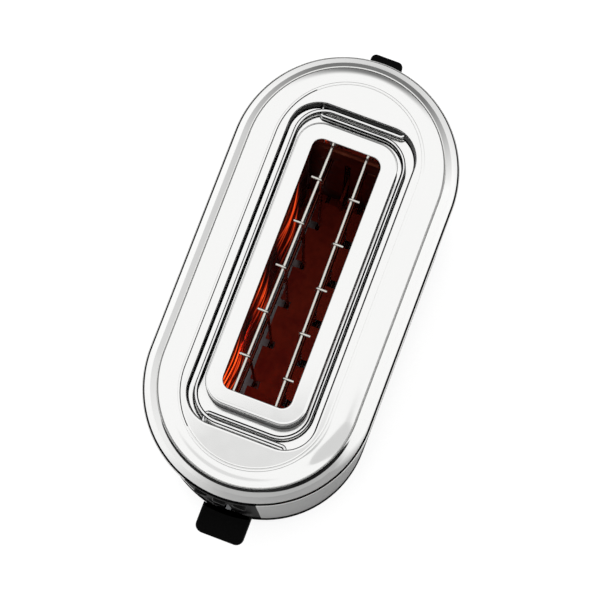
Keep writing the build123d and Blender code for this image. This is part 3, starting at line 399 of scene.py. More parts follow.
def makePiece(name, grids, finish, body, replaced, sharp=35, closeRings=False):
    # sharp is the angle in degrees above which an edge is drawn sharp
    points, faces = [], []
    for grid in grids:
        faces += gridFaces(grid.shape, closeRings, sum(map(len, points)))
        points.append(grid.reshape(-1, 3))
    return makeMesh(name, np.concatenate(points), faces, finish, body, replaced, sharp)


def makeMesh(name, points, faces, finish, body, replaced, sharp=35):
    mesh = bpy.data.meshes.new(name)
    mesh.from_pydata(points / 1000, [], faces)
    mesh.shade_smooth()
    mesh.set_sharp_from_angle(angle=math.radians(sharp))
    mesh.materials.append(finishes[finish])
    piece = addObject(name, mesh)
    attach(piece, body)
    if replaced:
        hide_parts(*replaced)
    return piece


def coatFaces(piece, finish, runs):
    # a second finish on some runs of faces, given as slices of their numbers
    piece.data.materials.append(finishes[finish])
    index = np.zeros(len(piece.data.polygons), int)
    for run in runs:
        index[run] = 1
    piece.data.polygons.foreach_set("material_index", index)


# Top cover: one drawn sheet, from its skirt over the shoulder, crease and ring, up a step to the deck and
# down into the well. Rows are half length, half width, corner radius and height.
topCover = {
    "skirt": (123.2, 60.7, 60.68, 164.0), "shoulderFoot": (123.2, 60.7, 60.68, 168.3),
    "shoulderTop": (116.25, 53.75, 53.73, 179.45), "shoulderSlope": 27, "creaseDepth": 0.9,
    "ringFoot": (115.1, 52.6, 52.58, 179.5), "ringTop": (107.6, 41.35, 41.3, 181.45), "ringCrown": 0.25,
    "beadFoot": (107.4, 41.15, 41.1, 181.5), "beadTop": (107.0, 40.75, 40.7, 181.9),
    # paintedShadeReach is how many faces of the groove's bottom along the left side get the painted shade
    "grooveWidth": 0.42, "grooveDepth": 0.35, "grooveWall": 0.1, "paintedShadeReach": 27,
    "stepFoot": (105.9, 39.65, 39.6, 181.9), "deckEdge": (105.5, 39.25, 39.2, 182.3), "stepSlope": 80,
    "deckRim": (104.9, 38.65, 38.6, 182.3), "flatRim": 0.5,
    "well": (90.0, 35.2, 17.0), "wellLip": 1.0, "wellFloor": 171.0, "floorBend": 0.5, "opening": (79.5, 28.15, 13.8),
    "wallRows": (1.4, 0.6), "sheet": 1.0,
    # the sheet's inner side: how far its bends round the well are set back, then its rows from the deck outwards,
    # which pass under the crease
    "underFloor": 1.0, "underFoot": 0.4, "underRise": 0.6, "underLip": 0.8, "underShoulder": (0.6, 0.6, 0.6, 1.9),
    "underSide": ((104.6, 38.35, 38.3, 181.3), (105.6, 39.35, 39.3, 180.4), (114.6, 52.0, 51.98, 177.8),
                  (115.1, 52.6, 52.58, 177.6)),
    "cornerSteps": 52, "shoulderSteps": 26, "creaseSteps": 7, "ringSteps": 14, "stepSteps": 5, "lipSteps": 9,
    "floorSteps": 4, "underSteps": 12,
}


def grown(size, by):
    # half length, half width and corner radius, all larger by the same length
    return tuple(value + by for value in size)


def makeCover(spec):
    well, lip, floor, deck = spec["well"], spec["wellLip"], spec["wellFloor"], spec["deckEdge"][3]
    bend, rim, sheet, opening = spec["floorBend"], spec["flatRim"], spec["sheet"], spec["opening"]
    foot, top = np.array(spec["shoulderFoot"]), np.array(spec["shoulderTop"])
    ringFoot, ringTop = np.array(spec["ringFoot"]), np.array(spec["ringTop"])
    # the ring's section bulges by crown sin(pi s)
    ringShare = np.linspace(0, 1, spec["ringSteps"])[:, None]
    ring = ringFoot + (ringTop - ringFoot) * ringShare
    ring[:, 3] += spec["ringCrown"] * np.sin(np.pi * ringShare[:, 0])
    # the crease is a round-bottomed groove between shoulder and ring, as deep as depth sin^0.8(pi s)
    creaseShare = np.linspace(0, 1, spec["creaseSteps"] + 2)[1:-1, None]
    crease = top + (ringFoot - top) * creaseShare
    crease[:, 3] -= spec["creaseDepth"] * np.sin(np.pi * creaseShare[:, 0]) ** 0.8
    # a sharp groove at the foot of the step: its outer edge and the two edges of its bottom
    wide, deep, wall, stepFoot = spec["grooveWidth"], spec["grooveDepth"], spec["grooveWall"], spec["stepFoot"]
    groove = [(*grown(stepFoot[:3], wide * share), stepFoot[3] - drop)
              for share, drop in ((1, 0), (1 - wall, deep), (wall, deep))]
    inward = np.array([sheet, sheet, sheet, 0.0])
    parts = {
        "skirt": [spec["skirt"]], "shoulder": arcRows(foot, top, spec["shoulderSteps"], 90, spec["shoulderSlope"]),
        "crease": crease, "ring": ring,
        "bead": arcRows(spec["beadFoot"], spec["beadTop"], spec["stepSteps"], spec["stepSlope"], 0),
        "groove": groove,
        "step": arcRows(stepFoot, spec["deckEdge"], spec["stepSteps"], spec["stepSlope"], 0),
        "deck": [spec["deckRim"], (*grown(well, lip + rim), deck)],
        "lip": arcRows((*grown(well, lip), deck), (*well, deck - lip), spec["lipSteps"], 0, 90),
        "wellWall": [(*well, floor + height) for height in spec["wallRows"]],
        "floorBend": arcRows((*well, floor + bend), (*grown(well, -bend), floor), spec["floorSteps"], 90, 0),
        "underWell": [(*opening, floor), (*opening, floor - sheet),
                      (*grown(well, -spec["underFloor"]), floor - sheet),
                      (*grown(well, sheet), floor + spec["underFoot"]),
                      (*grown(well, sheet), deck - lip - spec["underRise"]),
                      (*grown(well, lip + spec["underLip"]), deck - sheet)],
        "underSide": spec["underSide"],
        "underShoulder": arcRows(foot - inward, top - np.array(spec["underShoulder"]), spec["underSteps"], 90,
                                 spec["shoulderSlope"])[::-1],
        "underSkirt": [np.array(spec["skirt"]) - inward],
    }
    steps = spec["cornerSteps"]
    cover = makePiece("topCover", [outlineRows(np.concatenate(list(parts.values())), steps)], "cover",
                      "housing", ["top_cover"], sharp=40, closeRings=True)
    # Painted shade: black is put on the upright wall of the well with its bends, the bottom of the crease, and the
    # bottom of the groove along the left side, where there is only shade and dark reflection, not the steel's colour.
    around = 4 * (steps + 1)
    row = dict(zip(parts, np.cumsum([0] + [len(part) for part in parts.values()])))
    left = (row["groove"] + 1) * around + 3 * (steps + 1)
    coatFaces(cover, "paintedShade", (
        slice((row["wellWall"] - 2) * around, (row["underWell"] - 1) * around),
        slice((row["crease"] + 2) * around, (row["ring"] - 3) * around),
        slice(left - spec["paintedShadeReach"] - 1, left + spec["paintedShadeReach"])))


makeCover(topCover)
print("cover made")

# Collar round the slot, with the skirt that hangs down inside it
slotCollar = {
    "wall": (79.2, 27.85, 13.5), "foot": 169.0, "edge": 2.0, "sideEdge": 0.7, "height": 188.0, "flatRim": 0.5,
    "slot": (70.15, 18.95, 5.5), "mouth": 0.6, "skirtFoot": 180.0, "sheet": 1.0,
    "underMouth": 0.4, "underTop": (0.6, 0.2, 0.0), "underEdge": 0.8,
    "cornerSteps": 22, "edgeSteps": 10, "mouthSteps": 7,
}


def makeCollar(spec):
    high, sheet, edge, mouth, rim = spec["height"], spec["sheet"], spec["edge"], spec["mouth"], spec["flatRim"]
    slot, steps, wallSize = spec["slot"], spec["cornerSteps"], spec["wall"]
    a, b, r = wallSize
    inEnd, inSide, inCorner = spec["underTop"]
    # the rounded edge is narrower along the sides
    top = (a - edge, b - edge * spec["sideEdge"], r - edge)
    rows = np.concatenate([
        [(*wallSize, spec["foot"])],
        arcRows((*wallSize, high - edge), (*top, high), spec["edgeSteps"], 90, 0),
        [(*grown(top, -rim), high), (*grown(slot, mouth + rim), high)],
        arcRows((*grown(slot, mouth), high), (*slot, high - mouth), spec["mouthSteps"], 0, 90),
        [(*slot, spec["skirtFoot"]), (*grown(slot, sheet), spec["skirtFoot"]),
         (*grown(slot, sheet), high - sheet - spec["underMouth"]),
         (a - edge - inEnd, b - edge - inSide, r - edge - inCorner, high - sheet),
         (*grown(wallSize, -sheet), high - edge - spec["underEdge"]), (*grown(wallSize, -sheet), spec["foot"])],
    ])
    collar = makePiece("slotCollar", [outlineRows(rows, steps)], "cover", "housing",
                       ["slot_collar"], closeRings=True)
    # painted shade: the outer wall is black below its rounded edge, as the well's is, for the shade down in the well
    coatFaces(collar, "paintedShade", [slice(0, 4 * (steps + 1))])


makeCollar(slotCollar)
print("collar made")

# Wall: brushed strip wrapped round the body, with a rolled-over top edge, open at the front for the panel and
# slotted at the rear for the roll lever
wall = {
    "endRadius": 62.0, "endCentre": 62.5, "opening": 20.0, "low": 16.0, "high": 168.0, "sheet": 0.65, "roll": 0.45,
    "slotHalf": 2.5, "slotLow": 125.0, "slotHigh": 146.0, "frontSteps": 44, "rearSteps": 52, "slotSteps": 13,
    "rimSteps": 6, "rimBack": 0.1, "rimDrop": 0.4,
}


def makeWall(spec):
    # The section (inset, height) goes up the outside, over the edge and down the inside. It is carried round the
    # outline, x = +-centre + (R - inset) cos t and y = (R - inset) sin t, from one side of the opening to the other.
    radius, low, high, sheet, roll = spec["endRadius"], spec["low"], spec["high"], spec["sheet"], spec["roll"]
    start, slot = math.asin(spec["opening"] / radius), math.asin(spec["slotHalf"] / radius)
    front, rear, across = spec["frontSteps"], spec["rearSteps"], spec["slotSteps"]
    runs = [np.linspace(start, np.pi / 2, front), np.linspace(np.pi / 2, np.pi - slot, rear),
            np.linspace(np.pi - slot, np.pi + slot, across)[1:-1], np.linspace(np.pi + slot, 1.5 * np.pi, rear),
            np.linspace(1.5 * np.pi, 2 * np.pi - start, front)]
    turn = np.concatenate(runs)
    centre = spec["endCentre"] * np.repeat([1, -1, -1, -1, 1], [len(run) for run in runs])
    bend = np.linspace(0, np.pi / 2, spec["rimSteps"])[1:]
    rim = [(roll * (1 - math.cos(t)), high - roll * (1 - math.sin(t))) for t in bend]
    back, drop = spec["rimBack"], spec["rimDrop"]
    section = np.array([(0, low), (0, spec["slotLow"]), (0, spec["slotHigh"]), (0, high - roll), *rim,
                        (sheet - back, high - back), (sheet, high - drop), (sheet, spec["slotHigh"]),
                        (sheet, spec["slotLow"]), (sheet, low)])
    inset, z = section[:, :1], np.repeat(section[:, 1:], len(turn), 1)
    points = np.stack([centre + (radius - inset) * np.cos(turn), (radius - inset) * np.sin(turn), z], 2)
    # the slot's ends are half rounds: its edge rows move by half width minus sqrt(half width^2 - y^2)
    first, last = front + rear - 1, front + rear + across - 2
    half = spec["slotHalf"]
    y = np.clip(points[0, first:last + 1, 1], -half, half)
    dip = half - np.sqrt(half ** 2 - y ** 2)
    inLow, inHigh = len(section) - 2, len(section) - 3
    points[[1, inLow], first:last + 1, 2] += dip
    points[[2, inHigh], first:last + 1, 2] -= dip
    # the band between slotLow and slotHigh is left out there, outside and inside, and faces close the cut's rim
    index = np.arange(points.shape[0] * points.shape[1]).reshape(points.shape[:2])
    closed = np.concatenate([index, index[:1]], 0)
    quads = np.stack([closed[:-1, :-1], closed[:-1, 1:], closed[1:, 1:], closed[1:, :-1]], 2)
    keep = np.ones(quads.shape[:2], bool)
    keep[[1, inHigh], first:last] = False
    faces = quads[keep].tolist()
    cut, cutEnd = slice(first, last), slice(first + 1, last + 1)
    faces += np.stack([index[1, cut], index[inLow, cut], index[inLow, cutEnd], index[1, cutEnd]], 1)[:, ::-1].tolist()
    faces += np.stack([index[2, cut], index[inHigh, cut], index[inHigh, cutEnd], index[2, cutEnd]], 1).tolist()
    for column, way in ((first, -1), (last, 1)):
        faces.append(index[[1, 2, inHigh, inLow], column][::way].tolist())
    faces += [index[::-1, 0].tolist(), index[:, -1].tolist()]
    mesh = makeMesh("wrappedWall", points.reshape(-1, 3), faces, "wall", "housing",
                    ["body_shell"], sharp=40).data
    fixer = bmesh.new()
    fixer.from_mesh(mesh)
    bmesh.ops.recalc_face_normals(fixer, faces=fixer.faces)
    fixer.to_mesh(mesh)
    fixer.free()


makeWall(wall)
print("wall made")

# Roll wires: each one bent from a single wire, a U between two axles, with a crank and a pin at the rear
rollWires = {
    "radius": 1.1, "sides": 20, "smallBend": 2.0, "bigBend": 16.0, "bendSteps": 12,
    "axle": 93.6, "pinEnd": -98.8, "crank": 14.0, "fold": 42.0,
    "outer": {"bar": -30.85, "run": 87.6, "pivot": 24.0, "height": 178.5, "side": 1},
    "inner": {"bar": 30.5, "run": 84.4, "pivot": -21.5, "height": 175.7, "side": -1},
}


def makeRollWire(name, spec, wire, body, node):
    half = math.radians(spec["fold"] / 2)
    pinY = wire["pivot"] + wire["side"] * spec["crank"] * math.sin(half)
    pinZ = wire["height"] - spec["crank"] * math.cos(half)
    run, bar, pivot, high, axle = wire["run"], wire["bar"], wire["pivot"], wire["height"], spec["axle"]
    small, big = spec["smallBend"], spec["bigBend"]
    path = bentPath(
        [(spec["pinEnd"], pinY, pinZ), (-axle, pinY, pinZ), (-axle, pivot, high), (-run, pivot, high),
         (-run, bar, high), (run, bar, high), (run, pivot, high), (axle, pivot, high)],
        [small, small, small, big, big, small], spec["bendSteps"])
    makePiece(name, [carried(path, circle(spec["radius"], spec["sides"]))], "bunWire", body,
              [node])


makeRollWire("outerRollWire", rollWires, rollWires["outer"], "outer_wire", "outer_bun_wire")
makeRollWire("innerRollWire", rollWires, rollWires["inner"], "inner_wire", "inner_bun_wire")
print("roll wires made")

# Bread guides: three level wires and five uprights, whose tops bend outwards over the top wire
breadGuides = {
    "offset": 10.8, "levels": ((176.0, 74.2), (136.0, 77.0), (33.0, 77.0)), "levelRadius": 0.9, "levelSides": 14,
    "count": 5, "pitch": 25.25, "uprightRadius": 0.8, "uprightSides": 12, "inside": 1.35, "stub": 4.2,
    "stubDrop": 0.5, "rise": 1.7, "below": 1.0, "bend": 1.5, "bendSteps": 8,
    "left": {"side": -1, "first": -51.0, "skew": -1.1}, "right": {"side": 1, "first": -46.8, "skew": 0.6},
}


def makeGuide(name, spec, guide, body, node):
    side, y = guide["side"], guide["side"] * spec["offset"]
    grids = [carried(np.array([(-reach, y, z), (-reach + 1, y, z), (reach - 1, y, z), (reach, y, z)]),
                     circle(spec["levelRadius"], spec["levelSides"])) for z, reach in spec["levels"]]
    top, low = spec["levels"][0][0] + spec["rise"], spec["levels"][2][0]
    inside, end = y - side * spec["inside"], y + side * spec["stub"]
    for x in guide["first"] + spec["pitch"] * np.arange(spec["count"]):
        path = bentPath([(x, inside, low - spec["below"]), (x, inside, top), (x, end, top - spec["stubDrop"])],
                        [spec["bend"]], spec["bendSteps"])
        grids.append(carried(path, circle(spec["uprightRadius"], spec["uprightSides"])))
    # each grid hangs a little askew, turned by skew degrees about the upright axis
    skew = math.radians(guide["skew"])
    turn = np.array([[math.cos(skew), -math.sin(skew), 0], [math.sin(skew), math.cos(skew), 0], [0, 0, 1]])
    makePiece(name, [grid @ turn.T for grid in grids], "guideWire", body, [node])


makeGuide("leftGuideWires", breadGuides, breadGuides["left"], "left_guide", "left_bread_guide")
makeGuide("rightGuideWires", breadGuides, breadGuides["right"], "right_guide", "right_bread_guide")
print("bread guides made")

# Heating ribbons: level runs on the face of each mica board, bowed off it between the posts by the heat
ribbons = {
    "face": 22.0, "clear": 0.05, "wall": 0.4, "height": 2.6, "firstRow": 55.5, "rowPitch": 17.5, "rows": 6,
    "linkHalf": 1.3, "posts": (-67.0, -55.5, -12.0, 31.5, 67.0), "leftBow": 2.9, "rightBow": 0.9,
    "bowRange": (0.62, 0.38), "bowTurns": (2.3, 1.7), "bowPower": 1.6, "sag": 0.5, "steps": 160,
}


def makeRibbon(name, spec, side, bow, finish, node):
    # Depth off the board is bow sin^1.6 between posts, times mean + swing cos(turn row + turn span), so that no
    # two spans hang alike. The links between rows are short upright strips of the same ribbon.
    posts = np.array(spec["posts"])
    mean, swing = spec["bowRange"]
    rowTurn, spanTurn = spec["bowTurns"]
    x = np.linspace(posts[0], posts[-1], spec["steps"])
    span = np.clip(np.searchsorted(posts, x, "right") - 1, 0, len(posts) - 2)
    arch = np.sin(np.pi * (x - posts[span]) / (posts[span + 1] - posts[span]))
    half, tall, link = spec["wall"] / 2, spec["height"] / 2, spec["linkHalf"]
    section = np.array([(-half, -tall), (half, -tall), (half, tall), (-half, tall)])
    board = side * (spec["face"] - half - spec["clear"])
    grids = []
    for row in range(spec["rows"]):
        lift = bow * (mean + swing * np.cos(rowTurn * row + spanTurn * span)) * arch ** spec["bowPower"]
        z = spec["firstRow"] + row * spec["rowPitch"]
        grids.append(carried(np.stack([x, board - side * lift, z - spec["sag"] * lift], 1), section))
        if row:
            end = posts[-1] + link if row % 2 else posts[0] - link
            flat = np.array([(-link, -half), (link, -half), (link, half), (-link, half)])
            low = z - spec["rowPitch"] - tall
            rise = np.linspace(low, z + tall, 4)[:, None]
            grids.append(np.stack([np.broadcast_to(end + flat[None, :, 0], (4, 4)),
                                   np.broadcast_to(board + flat[None, :, 1], (4, 4)),
                                   np.broadcast_to(rise, (4, 4))], 2))
    makePiece(name, grids, finish, "housing", [node], sharp=50)


makeRibbon("leftRibbon", ribbons, -1, ribbons["leftBow"], "leftRibbon", "left_heating_ribbon")
makeRibbon("rightRibbon", ribbons, 1, ribbons["rightBow"], "rightRibbon", "right_heating_ribbon")
print("ribbons made")

# Return spring: a close coil, drawn out while the carriage is down
returnSpring = {
    "axis": (88.0, -13.0), "low": 80.0, "high": 157.4, "play": 0.5, "radius": 3.1, "wire": 0.4, "sides": 8,
    "turns": 34, "turnSteps": 20, "travel": 62.0,
}


def makeSpring(spec):
    # x = x0 + R cos t, y = y0 + R sin t, with z level for half a turn at each end and rising evenly between
    turns = spec["turns"]
    turn = np.linspace(0, 2 * np.pi * turns, spec["turnSteps"] * turns + 1)
    share = np.clip((turn / turn[-1] * (turns + 1) - 0.5) / turns, 0, 1)
    inset = spec["play"] + spec["wire"]
    height = spec["low"] + inset + (spec["high"] - spec["low"] - 2 * inset) * share
    path = np.stack([spec["axis"][0] + spec["radius"] * np.cos(turn), spec["axis"][1] + spec["radius"] * np.sin(turn),
                     height], 1)
    piece = makePiece("returnSpring", [carried(path, circle(spec["wire"], spec["sides"]))], "spring",
                      "housing", ["return_spring"])
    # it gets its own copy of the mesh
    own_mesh(piece)


makeSpring(returnSpring)
print("return spring made")

# Knobs: a rounded block whose inner side follows the wall; the top and bottom edges are rounded over
knobs = {
    "endCentre": 62.5, "wallClear": 63.8, "edge": 1.4, "faceInset": 0.4,
    "wallSteps": 24, "cornerSteps": 12, "edgeSteps": 7,
    "lever": {"reach": 142.2, "middle": 2.0, "width": 28.8, "corner": 4.6, "low": 56.0, "high": 68.0, "way": 1},
    "roll": {"reach": 134.3, "middle": 0.0, "width": 18.2, "corner": 3.0, "low": 136.0, "high": 146.0, "way": -1},
}


def makeKnob(name, spec, knob, body, node):
    # Outline: an arc round the end of the body, then two straight sides and two rounded outer corners.
    half, corner, reach = knob["width"] / 2, knob["corner"], knob["reach"]
    y = np.linspace(half, -half, spec["wallSteps"]) + knob["middle"]
    inner = np.stack([spec["endCentre"] + np.sqrt(spec["wallClear"] ** 2 - y ** 2), y], 1)
    turn = np.linspace(0, np.pi / 2, spec["cornerSteps"])[:, None]
    outer = [np.concatenate([reach - corner + corner * np.cos(turn + start),
                             knob["middle"] + way * (half - corner) + corner * np.sin(turn + start)], 1)
             for start, way in ((-np.pi / 2, -1), (0, 1))]
    # way is 1 at the front and -1 at the rear, where the outline is turned half round
    outline = np.concatenate([inner, *outer]) * knob["way"]
    bend = np.linspace(0, np.pi / 2, spec["edgeSteps"])
    edge, low, high = spec["edge"], knob["low"], knob["high"]
    rows = [(edge + spec["faceInset"], low)]
    rows += [(edge * (1 - math.sin(t)), low + edge * (1 - math.cos(t))) for t in bend]
    rows += [(edge * (1 - math.cos(t)), high - edge * (1 - math.sin(t))) for t in bend]
    rows += [(edge + spec["faceInset"], high)]
    makePiece(name, [stackedOutline(outline, rows)], "knob", body, [node], sharp=50)


makeKnob("leverKnob", knobs, knobs["lever"], "carriage", "lever_knob")
makeKnob("rollLeverKnob", knobs, knobs["roll"], "bun_lift", "bun_lever_knob")
print("knobs made")

# Browning dial, with ribs to grip and a printed pointer, and the numbers printed round it on the panel
dial = {
    "height": 36.0, "back": 125.1, "front": 136.6, "radius": 12.5, "ribs": 30, "ribDepth": 0.55, "sides": 240,
    "pointer": (5.0, 11.5), "pointerHalf": 0.55, "pointerBack": 0.35, "pointerFront": 0.2, "pointerSunk": 0.2,
    "numberRadius": 16.4, "numberSize": 3.6, "printProud": 0.06, "panelRadius": 61.7, "endCentre": 62.5,
    "numbers": ((120, "1"), (75, "2"), (30, "3"), (-15, "4"), (-60, "5"), (-105, "6"), (-150, "7")),
}


def makeDial(spec):
    r, front, back = spec["radius"], spec["front"], spec["back"]
    # radius, X and the share of the ribs' full depth there
    profile = [(3.2, back, 0), (r - 0.3, back, 0.2), (r, back + 0.4, 0.4), (r, back + 2.0, 1), (r, front - 3.0, 1),
               (r - 0.15, front - 1.4, 1), (r - 0.7, front - 0.5, 0.6), (r - 1.6, front - 0.1, 0),
               (r - 2.6, front, 0), (r - 4.0, front - 0.35, 0), (2.0, front - 0.6, 0)]
    makePiece("browningDial", [turned(profile, (0, spec["height"]), spec["sides"], spec["ribs"], spec["ribDepth"])],
              "knob", "browning_dial", ["browning_knob"], sharp=40)
    # the pointer is a printed bar, level with the front's rim
    half, sunk, proud = spec["pointerHalf"], spec["pointerBack"], spec["pointerFront"]
    bar = np.array([(-half, -sunk), (half, -sunk), (half, proud), (-half, proud)])
    height = spec["height"] + np.linspace(*spec["pointer"], 6)[:, None]
    grid = np.stack(np.broadcast_arrays(front - spec["pointerSunk"] + bar[None, :, 1], bar[None, :, 0], height), 2)
    makePiece("dialPointer", [grid], "paint", "browning_dial", [], sharp=50)


def makeNumber(name, text, angle, spec):
    # The glyph is drawn flat, then wrapped: X = centre + sqrt(R^2 - y^2) on the panel's round face.
    glyph = bpy.data.curves.new(name + "Text", "FONT")
    glyph.body = text
    glyph.size = spec["numberSize"] / 1000
    glyph.align_x, glyph.align_y = "CENTER", "CENTER"
    holder = addObject(name + "Text", glyph)
    mesh = bpy.data.meshes.new_from_object(holder.evaluated_get(bpy.context.evaluated_depsgraph_get()))
    bpy.data.objects.remove(holder)
    points = np.empty(len(mesh.vertices) * 3)
    mesh.vertices.foreach_get("co", points)
    points = points.reshape(-1, 3) * 1000
    turn = math.radians(angle)
    y = points[:, 0] - spec["numberRadius"] * math.sin(turn)
    z = points[:, 1] + spec["height"] + spec["numberRadius"] * math.cos(turn)
    x = spec["endCentre"] + np.sqrt((spec["panelRadius"] + spec["printProud"]) ** 2 - y ** 2)
    mesh.vertices.foreach_set("co", (np.stack([x, y, z], 1) / 1000).ravel())
    mesh.materials.clear()
    mesh.materials.append(finishes["paint"])
    piece = addObject(name, mesh)
    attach(piece, "housing")


makeDial(dial)
for angle, text in dial["numbers"]:
    makeNumber("dialNumber" + text, text, angle, dial)
print("dial made")

# Push buttons: rounded edge and a shallow dish for the finger
buttons = {
    "radius": 3.85, "depth": 3.0, "edge": 0.8, "dish": 0.35, "height": 148.0, "proud": 1.6, "endCentre": 62.5,
    "panelRadius": 61.7, "sides": 48, "edgeSteps": 6, "dishSteps": 9, "middle": 0.15,
    "places": (("stop", -11.0), ("defrost", 0.0), ("reheat", 11.0)),
}


def makeButton(spec, name, y):
    # The profile goes up the side, over the edge and across a dish whose depth is dish (1 - (radius / rim)^2).
    r, edge, dish = spec["radius"], spec["edge"], spec["dish"]
    face = spec["endCentre"] + math.sqrt(spec["panelRadius"] ** 2 - y ** 2) + spec["proud"]
    bend = np.linspace(0, np.pi / 2, spec["edgeSteps"])
    reach = np.linspace(r - edge, spec["middle"], spec["dishSteps"])
    profile = [(r, face - spec["depth"], 0)]
    profile += [(r - edge * (1 - math.cos(t)), face - edge * (1 - math.sin(t)), 0) for t in bend]
    profile += [(p, face - dish * (1 - (p / (r - edge)) ** 2), 0) for p in reach[1:]]
    makePiece(name + "Key", [turned(profile, (y, spec["height"]), spec["sides"])], "key",
              name + "_key", [name + "_button"])


for buttonName, buttonY in buttons["places"]:
    makeButton(buttons, buttonName, buttonY)
print("buttons made")

# Stage: a pale floor, a soft tent of light and the camera
stage = {
    "floorHalf": 3.0, "floorColour": "A8A8A8", "floorWhite": 0.78,
    # each lamp: name, place, aim, size, power and colour; the small one is the ribbons' own light on the shelf
    # and the ends of the chamber
    "lamps": (("keyLamp", (-0.5, -0.9, 1.6), (0, 0, 0.1), 1.1, 5.0, "FFFFFF"),
              ("emberLamp", (0.035, -0.013, 0.105), (0.035, 0.008, 0.03), 0.02, 0.034, "FF7052")),
    # levels round the object, as (azimuth in degrees, level): the low part of the tent, and the cards on the
    # table that only reflections show
    "low": ((-180, 0.2), (-150, 0.2), (-120, 0.5), (-90, 0.8), (-50, 0.95), (-25, 0.9), (-10, 0.6), (0, 0.5),
            (40, 0.46), (68, 0.5), (80, 1.0), (110, 1.08), (140, 0.5), (160, 0.2), (180, 0.2)),
    "cards": ((-180, 0.35), (-150, 0.5), (-120, 0.7), (-90, 0.72), (-35, 0.65), (-15, 0.35), (0, 0.12), (30, 0.04),
              (60, 0.06), (80, 0.7), (120, 0.75), (150, 0.5), (180, 0.35)),
    "high": 1.03, "blend": (0.58, 0.72),
    # each flag: azimuth and half width in degrees, height z and half height, level, softness
    "flags": ((52, 34, 0.5, 0.16, 0.01, 0.1), (-8, 52, 0.54, 0.13, 0.02, 0.1), (82, 22, 0.92, 0.055, 0.72, 0.1),
              (-12, 50, 0.9, 0.04, 0.8, 0.5)),
    "rearFlags": ((-50, 70, 0.9972, 0.0024, 0.8, 0.3),),
    "target": (14.03, 4.11, 188.0), "distance": 1060.0, "tilt": 8.3, "turn": 20.7, "focal": 2045.8,
    "frameWidth": 600,
}


def levelRound(tree, x, y, stops):
    # a level that depends on the azimuth of x and y alone, between stops in degrees
    azimuth = addNode(tree, "ShaderNodeMath", {0: y, 1: x}, operation="ARCTAN2")
    share = addNode(tree, "ShaderNodeMapRange", {
        "Value": azimuth.outputs[0], "From Min": -math.pi, "From Max": math.pi})
    ramp = addNode(tree, "ShaderNodeValToRGB", {0: share.outputs[0]})
    fillRamp(ramp, [(degrees / 360 + 0.5, level) for degrees, level in stops])
    return ramp.outputs[0]


def makeFloor(spec):
    half = spec["floorHalf"]
    mesh = bpy.data.meshes.new("floor")
    mesh.from_pydata([(-half, -half, 0), (half, -half, 0), (half, half, 0), (-half, half, 0)], [], [(0, 1, 2, 3)])
    # matt white sweep: its own white is added for the camera, and some of it for reflections
    material, tree = startMaterial("matteSweep")
    shader = addNode(tree, "ShaderNodeBsdfPrincipled", {
        "Base Color": linearColour(spec["floorColour"]), "Roughness": 0.9, "Specular IOR Level": 0.0})
    path = addNode(tree, "ShaderNodeLightPath")
    place = addNode(tree, "ShaderNodeTexCoord").outputs["Object"]
    split = addNode(tree, "ShaderNodeSeparateXYZ", {0: place})
    cards = levelRound(tree, split.outputs[0], split.outputs[1], spec["cards"])
    gloss = addNode(tree, "ShaderNodeMath", {0: path.outputs["Is Glossy Ray"], 1: cards}, operation="MULTIPLY")
    power = addNode(tree, "ShaderNodeMath", {
        0: path.outputs["Is Camera Ray"], 1: spec["floorWhite"], 2: gloss.outputs[0]}, operation="MULTIPLY_ADD")
    glow = addNode(tree, "ShaderNodeEmission", {"Strength": power.outputs[0]})
    both = addNode(tree, "ShaderNodeAddShader", {0: shader.outputs[0], 1: glow.outputs[0]})
    addNode(tree, "ShaderNodeOutputMaterial", {"Surface": both.outputs[0]})
    mesh.materials.append(material)
    addObject("floor", mesh)


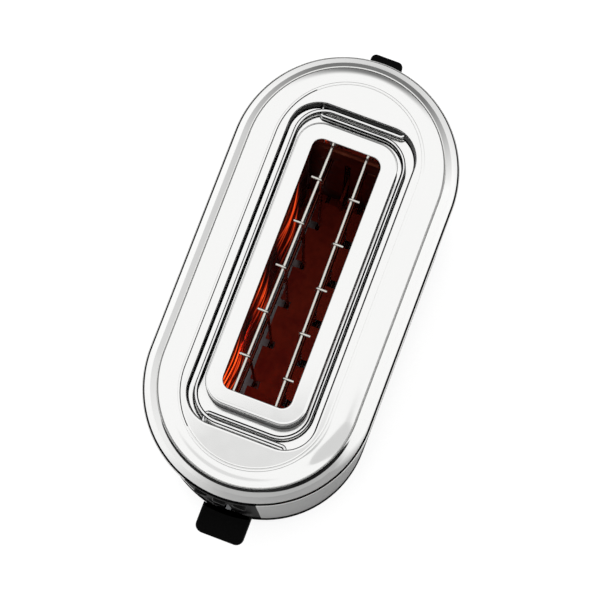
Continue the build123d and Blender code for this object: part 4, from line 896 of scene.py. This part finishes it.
def makeWorld(spec):
    # The tent is even overhead and changes round the object below. Flags are soft-edged ellipses in azimuth and
    # height, darker than the tent, as the black cards round a photographer's table. The camera sees white.
    world = bpy.data.worlds.new("tent")
    bpy.context.scene.world = world
    world.use_nodes = True
    tree = world.node_tree
    tree.nodes.clear()
    source = addNode(tree, "ShaderNodeTexCoord")
    split = addNode(tree, "ShaderNodeSeparateXYZ", {0: source.outputs["Generated"]})
    low = levelRound(tree, split.outputs[0], split.outputs[1], spec["low"])
    climb = addNode(tree, "ShaderNodeMapRange", {
        "Value": split.outputs[2], "From Min": spec["blend"][0], "From Max": spec["blend"][1]},
        interpolation_type="SMOOTHSTEP")
    high = spec["high"]
    light = addNode(tree, "ShaderNodeMix", {
        0: climb.outputs[0], 6: low, 7: (high, high, high, 1)}, data_type="RGBA").outputs[2]
    away = addNode(tree, "ShaderNodeMath", {0: split.outputs[0], 1: -1.0}, operation="MULTIPLY")
    for eastward, flags in ((split.outputs[0], spec["flags"]), (away.outputs[0], spec["rearFlags"])):
        azimuth = addNode(tree, "ShaderNodeMath", {0: split.outputs[1], 1: eastward}, operation="ARCTAN2")
        place = addNode(tree, "ShaderNodeCombineXYZ", {0: azimuth.outputs[0], 1: split.outputs[2]})
        for middle, width, height, tall, level, soft in flags:
            shift = addNode(tree, "ShaderNodeVectorMath", {
                0: place.outputs[0], 1: (math.radians(middle), height, 0)}, operation="SUBTRACT")
            squash = addNode(tree, "ShaderNodeVectorMath", {
                0: shift.outputs[0], 1: (1 / math.radians(width), 1 / tall, 0)}, operation="MULTIPLY")
            reach = addNode(tree, "ShaderNodeVectorMath", {0: squash.outputs[0]}, operation="LENGTH")
            share = addNode(tree, "ShaderNodeMapRange", {
                "Value": reach.outputs["Value"], "From Min": 1.0, "From Max": 1.0 - soft},
                interpolation_type="SMOOTHSTEP")
            light = addNode(tree, "ShaderNodeMix", {
                0: share.outputs[0], 6: light, 7: (level, level, level, 1)}, data_type="RGBA").outputs[2]
    tent = addNode(tree, "ShaderNodeBackground", {"Color": light, "Strength": 1.0})
    white = addNode(tree, "ShaderNodeBackground", {"Color": (1, 1, 1, 1), "Strength": 1.0})
    path = addNode(tree, "ShaderNodeLightPath")
    seen = addNode(tree, "ShaderNodeMixShader", {
        0: path.outputs["Is Camera Ray"], 1: tent.outputs[0], 2: white.outputs[0]})
    addNode(tree, "ShaderNodeOutputWorld", {"Surface": seen.outputs[0]})


def lookMatrix(place, back, right):
    # columns: right, up, back and place, for a thing that looks along minus back
    right = np.asarray(right) / np.linalg.norm(right)
    matrix = np.eye(4)
    matrix[:3, 0], matrix[:3, 1], matrix[:3, 2], matrix[:3, 3] = right, np.cross(back, right), back, place
    return mathutils.Matrix(matrix.tolist())


def makeLamp(name, place, aim, size, power, colour):
    lamp = bpy.data.lights.new(name, "AREA")
    lamp.energy, lamp.size, lamp.color = power, size, linearColour(colour)[:3]
    holder = addObject(name, lamp)
    back = np.array(place) - np.array(aim)
    back = back / np.linalg.norm(back)
    holder.matrix_world = lookMatrix(place, back, np.cross((0, 0, 1), back))
    # the tent is what shows in the steel
    holder.visible_glossy = False


def makeCamera(spec):
    tilt, turn = math.radians(spec["tilt"]), math.radians(spec["turn"])
    right = np.array([-math.sin(turn), math.cos(turn), 0])
    back = np.array([math.cos(turn) * math.sin(tilt), math.sin(turn) * math.sin(tilt), math.cos(tilt)])
    camera = bpy.data.cameras.new("camera")
    camera.sensor_width = 36
    camera.lens = 36 * spec["focal"] / spec["frameWidth"]
    camera.clip_start, camera.clip_end = 0.05, 20
    holder = addObject("camera", camera)
    holder.matrix_world = lookMatrix((np.array(spec["target"]) + spec["distance"] * back) / 1000, back, right)
    bpy.context.scene.camera = holder


makeFloor(stage)
makeWorld(stage)
for lampValues in stage["lamps"]:
    makeLamp(*lampValues)
makeCamera(stage)
bpy.context.scene.view_settings.view_transform = "Standard"
print("stage set")
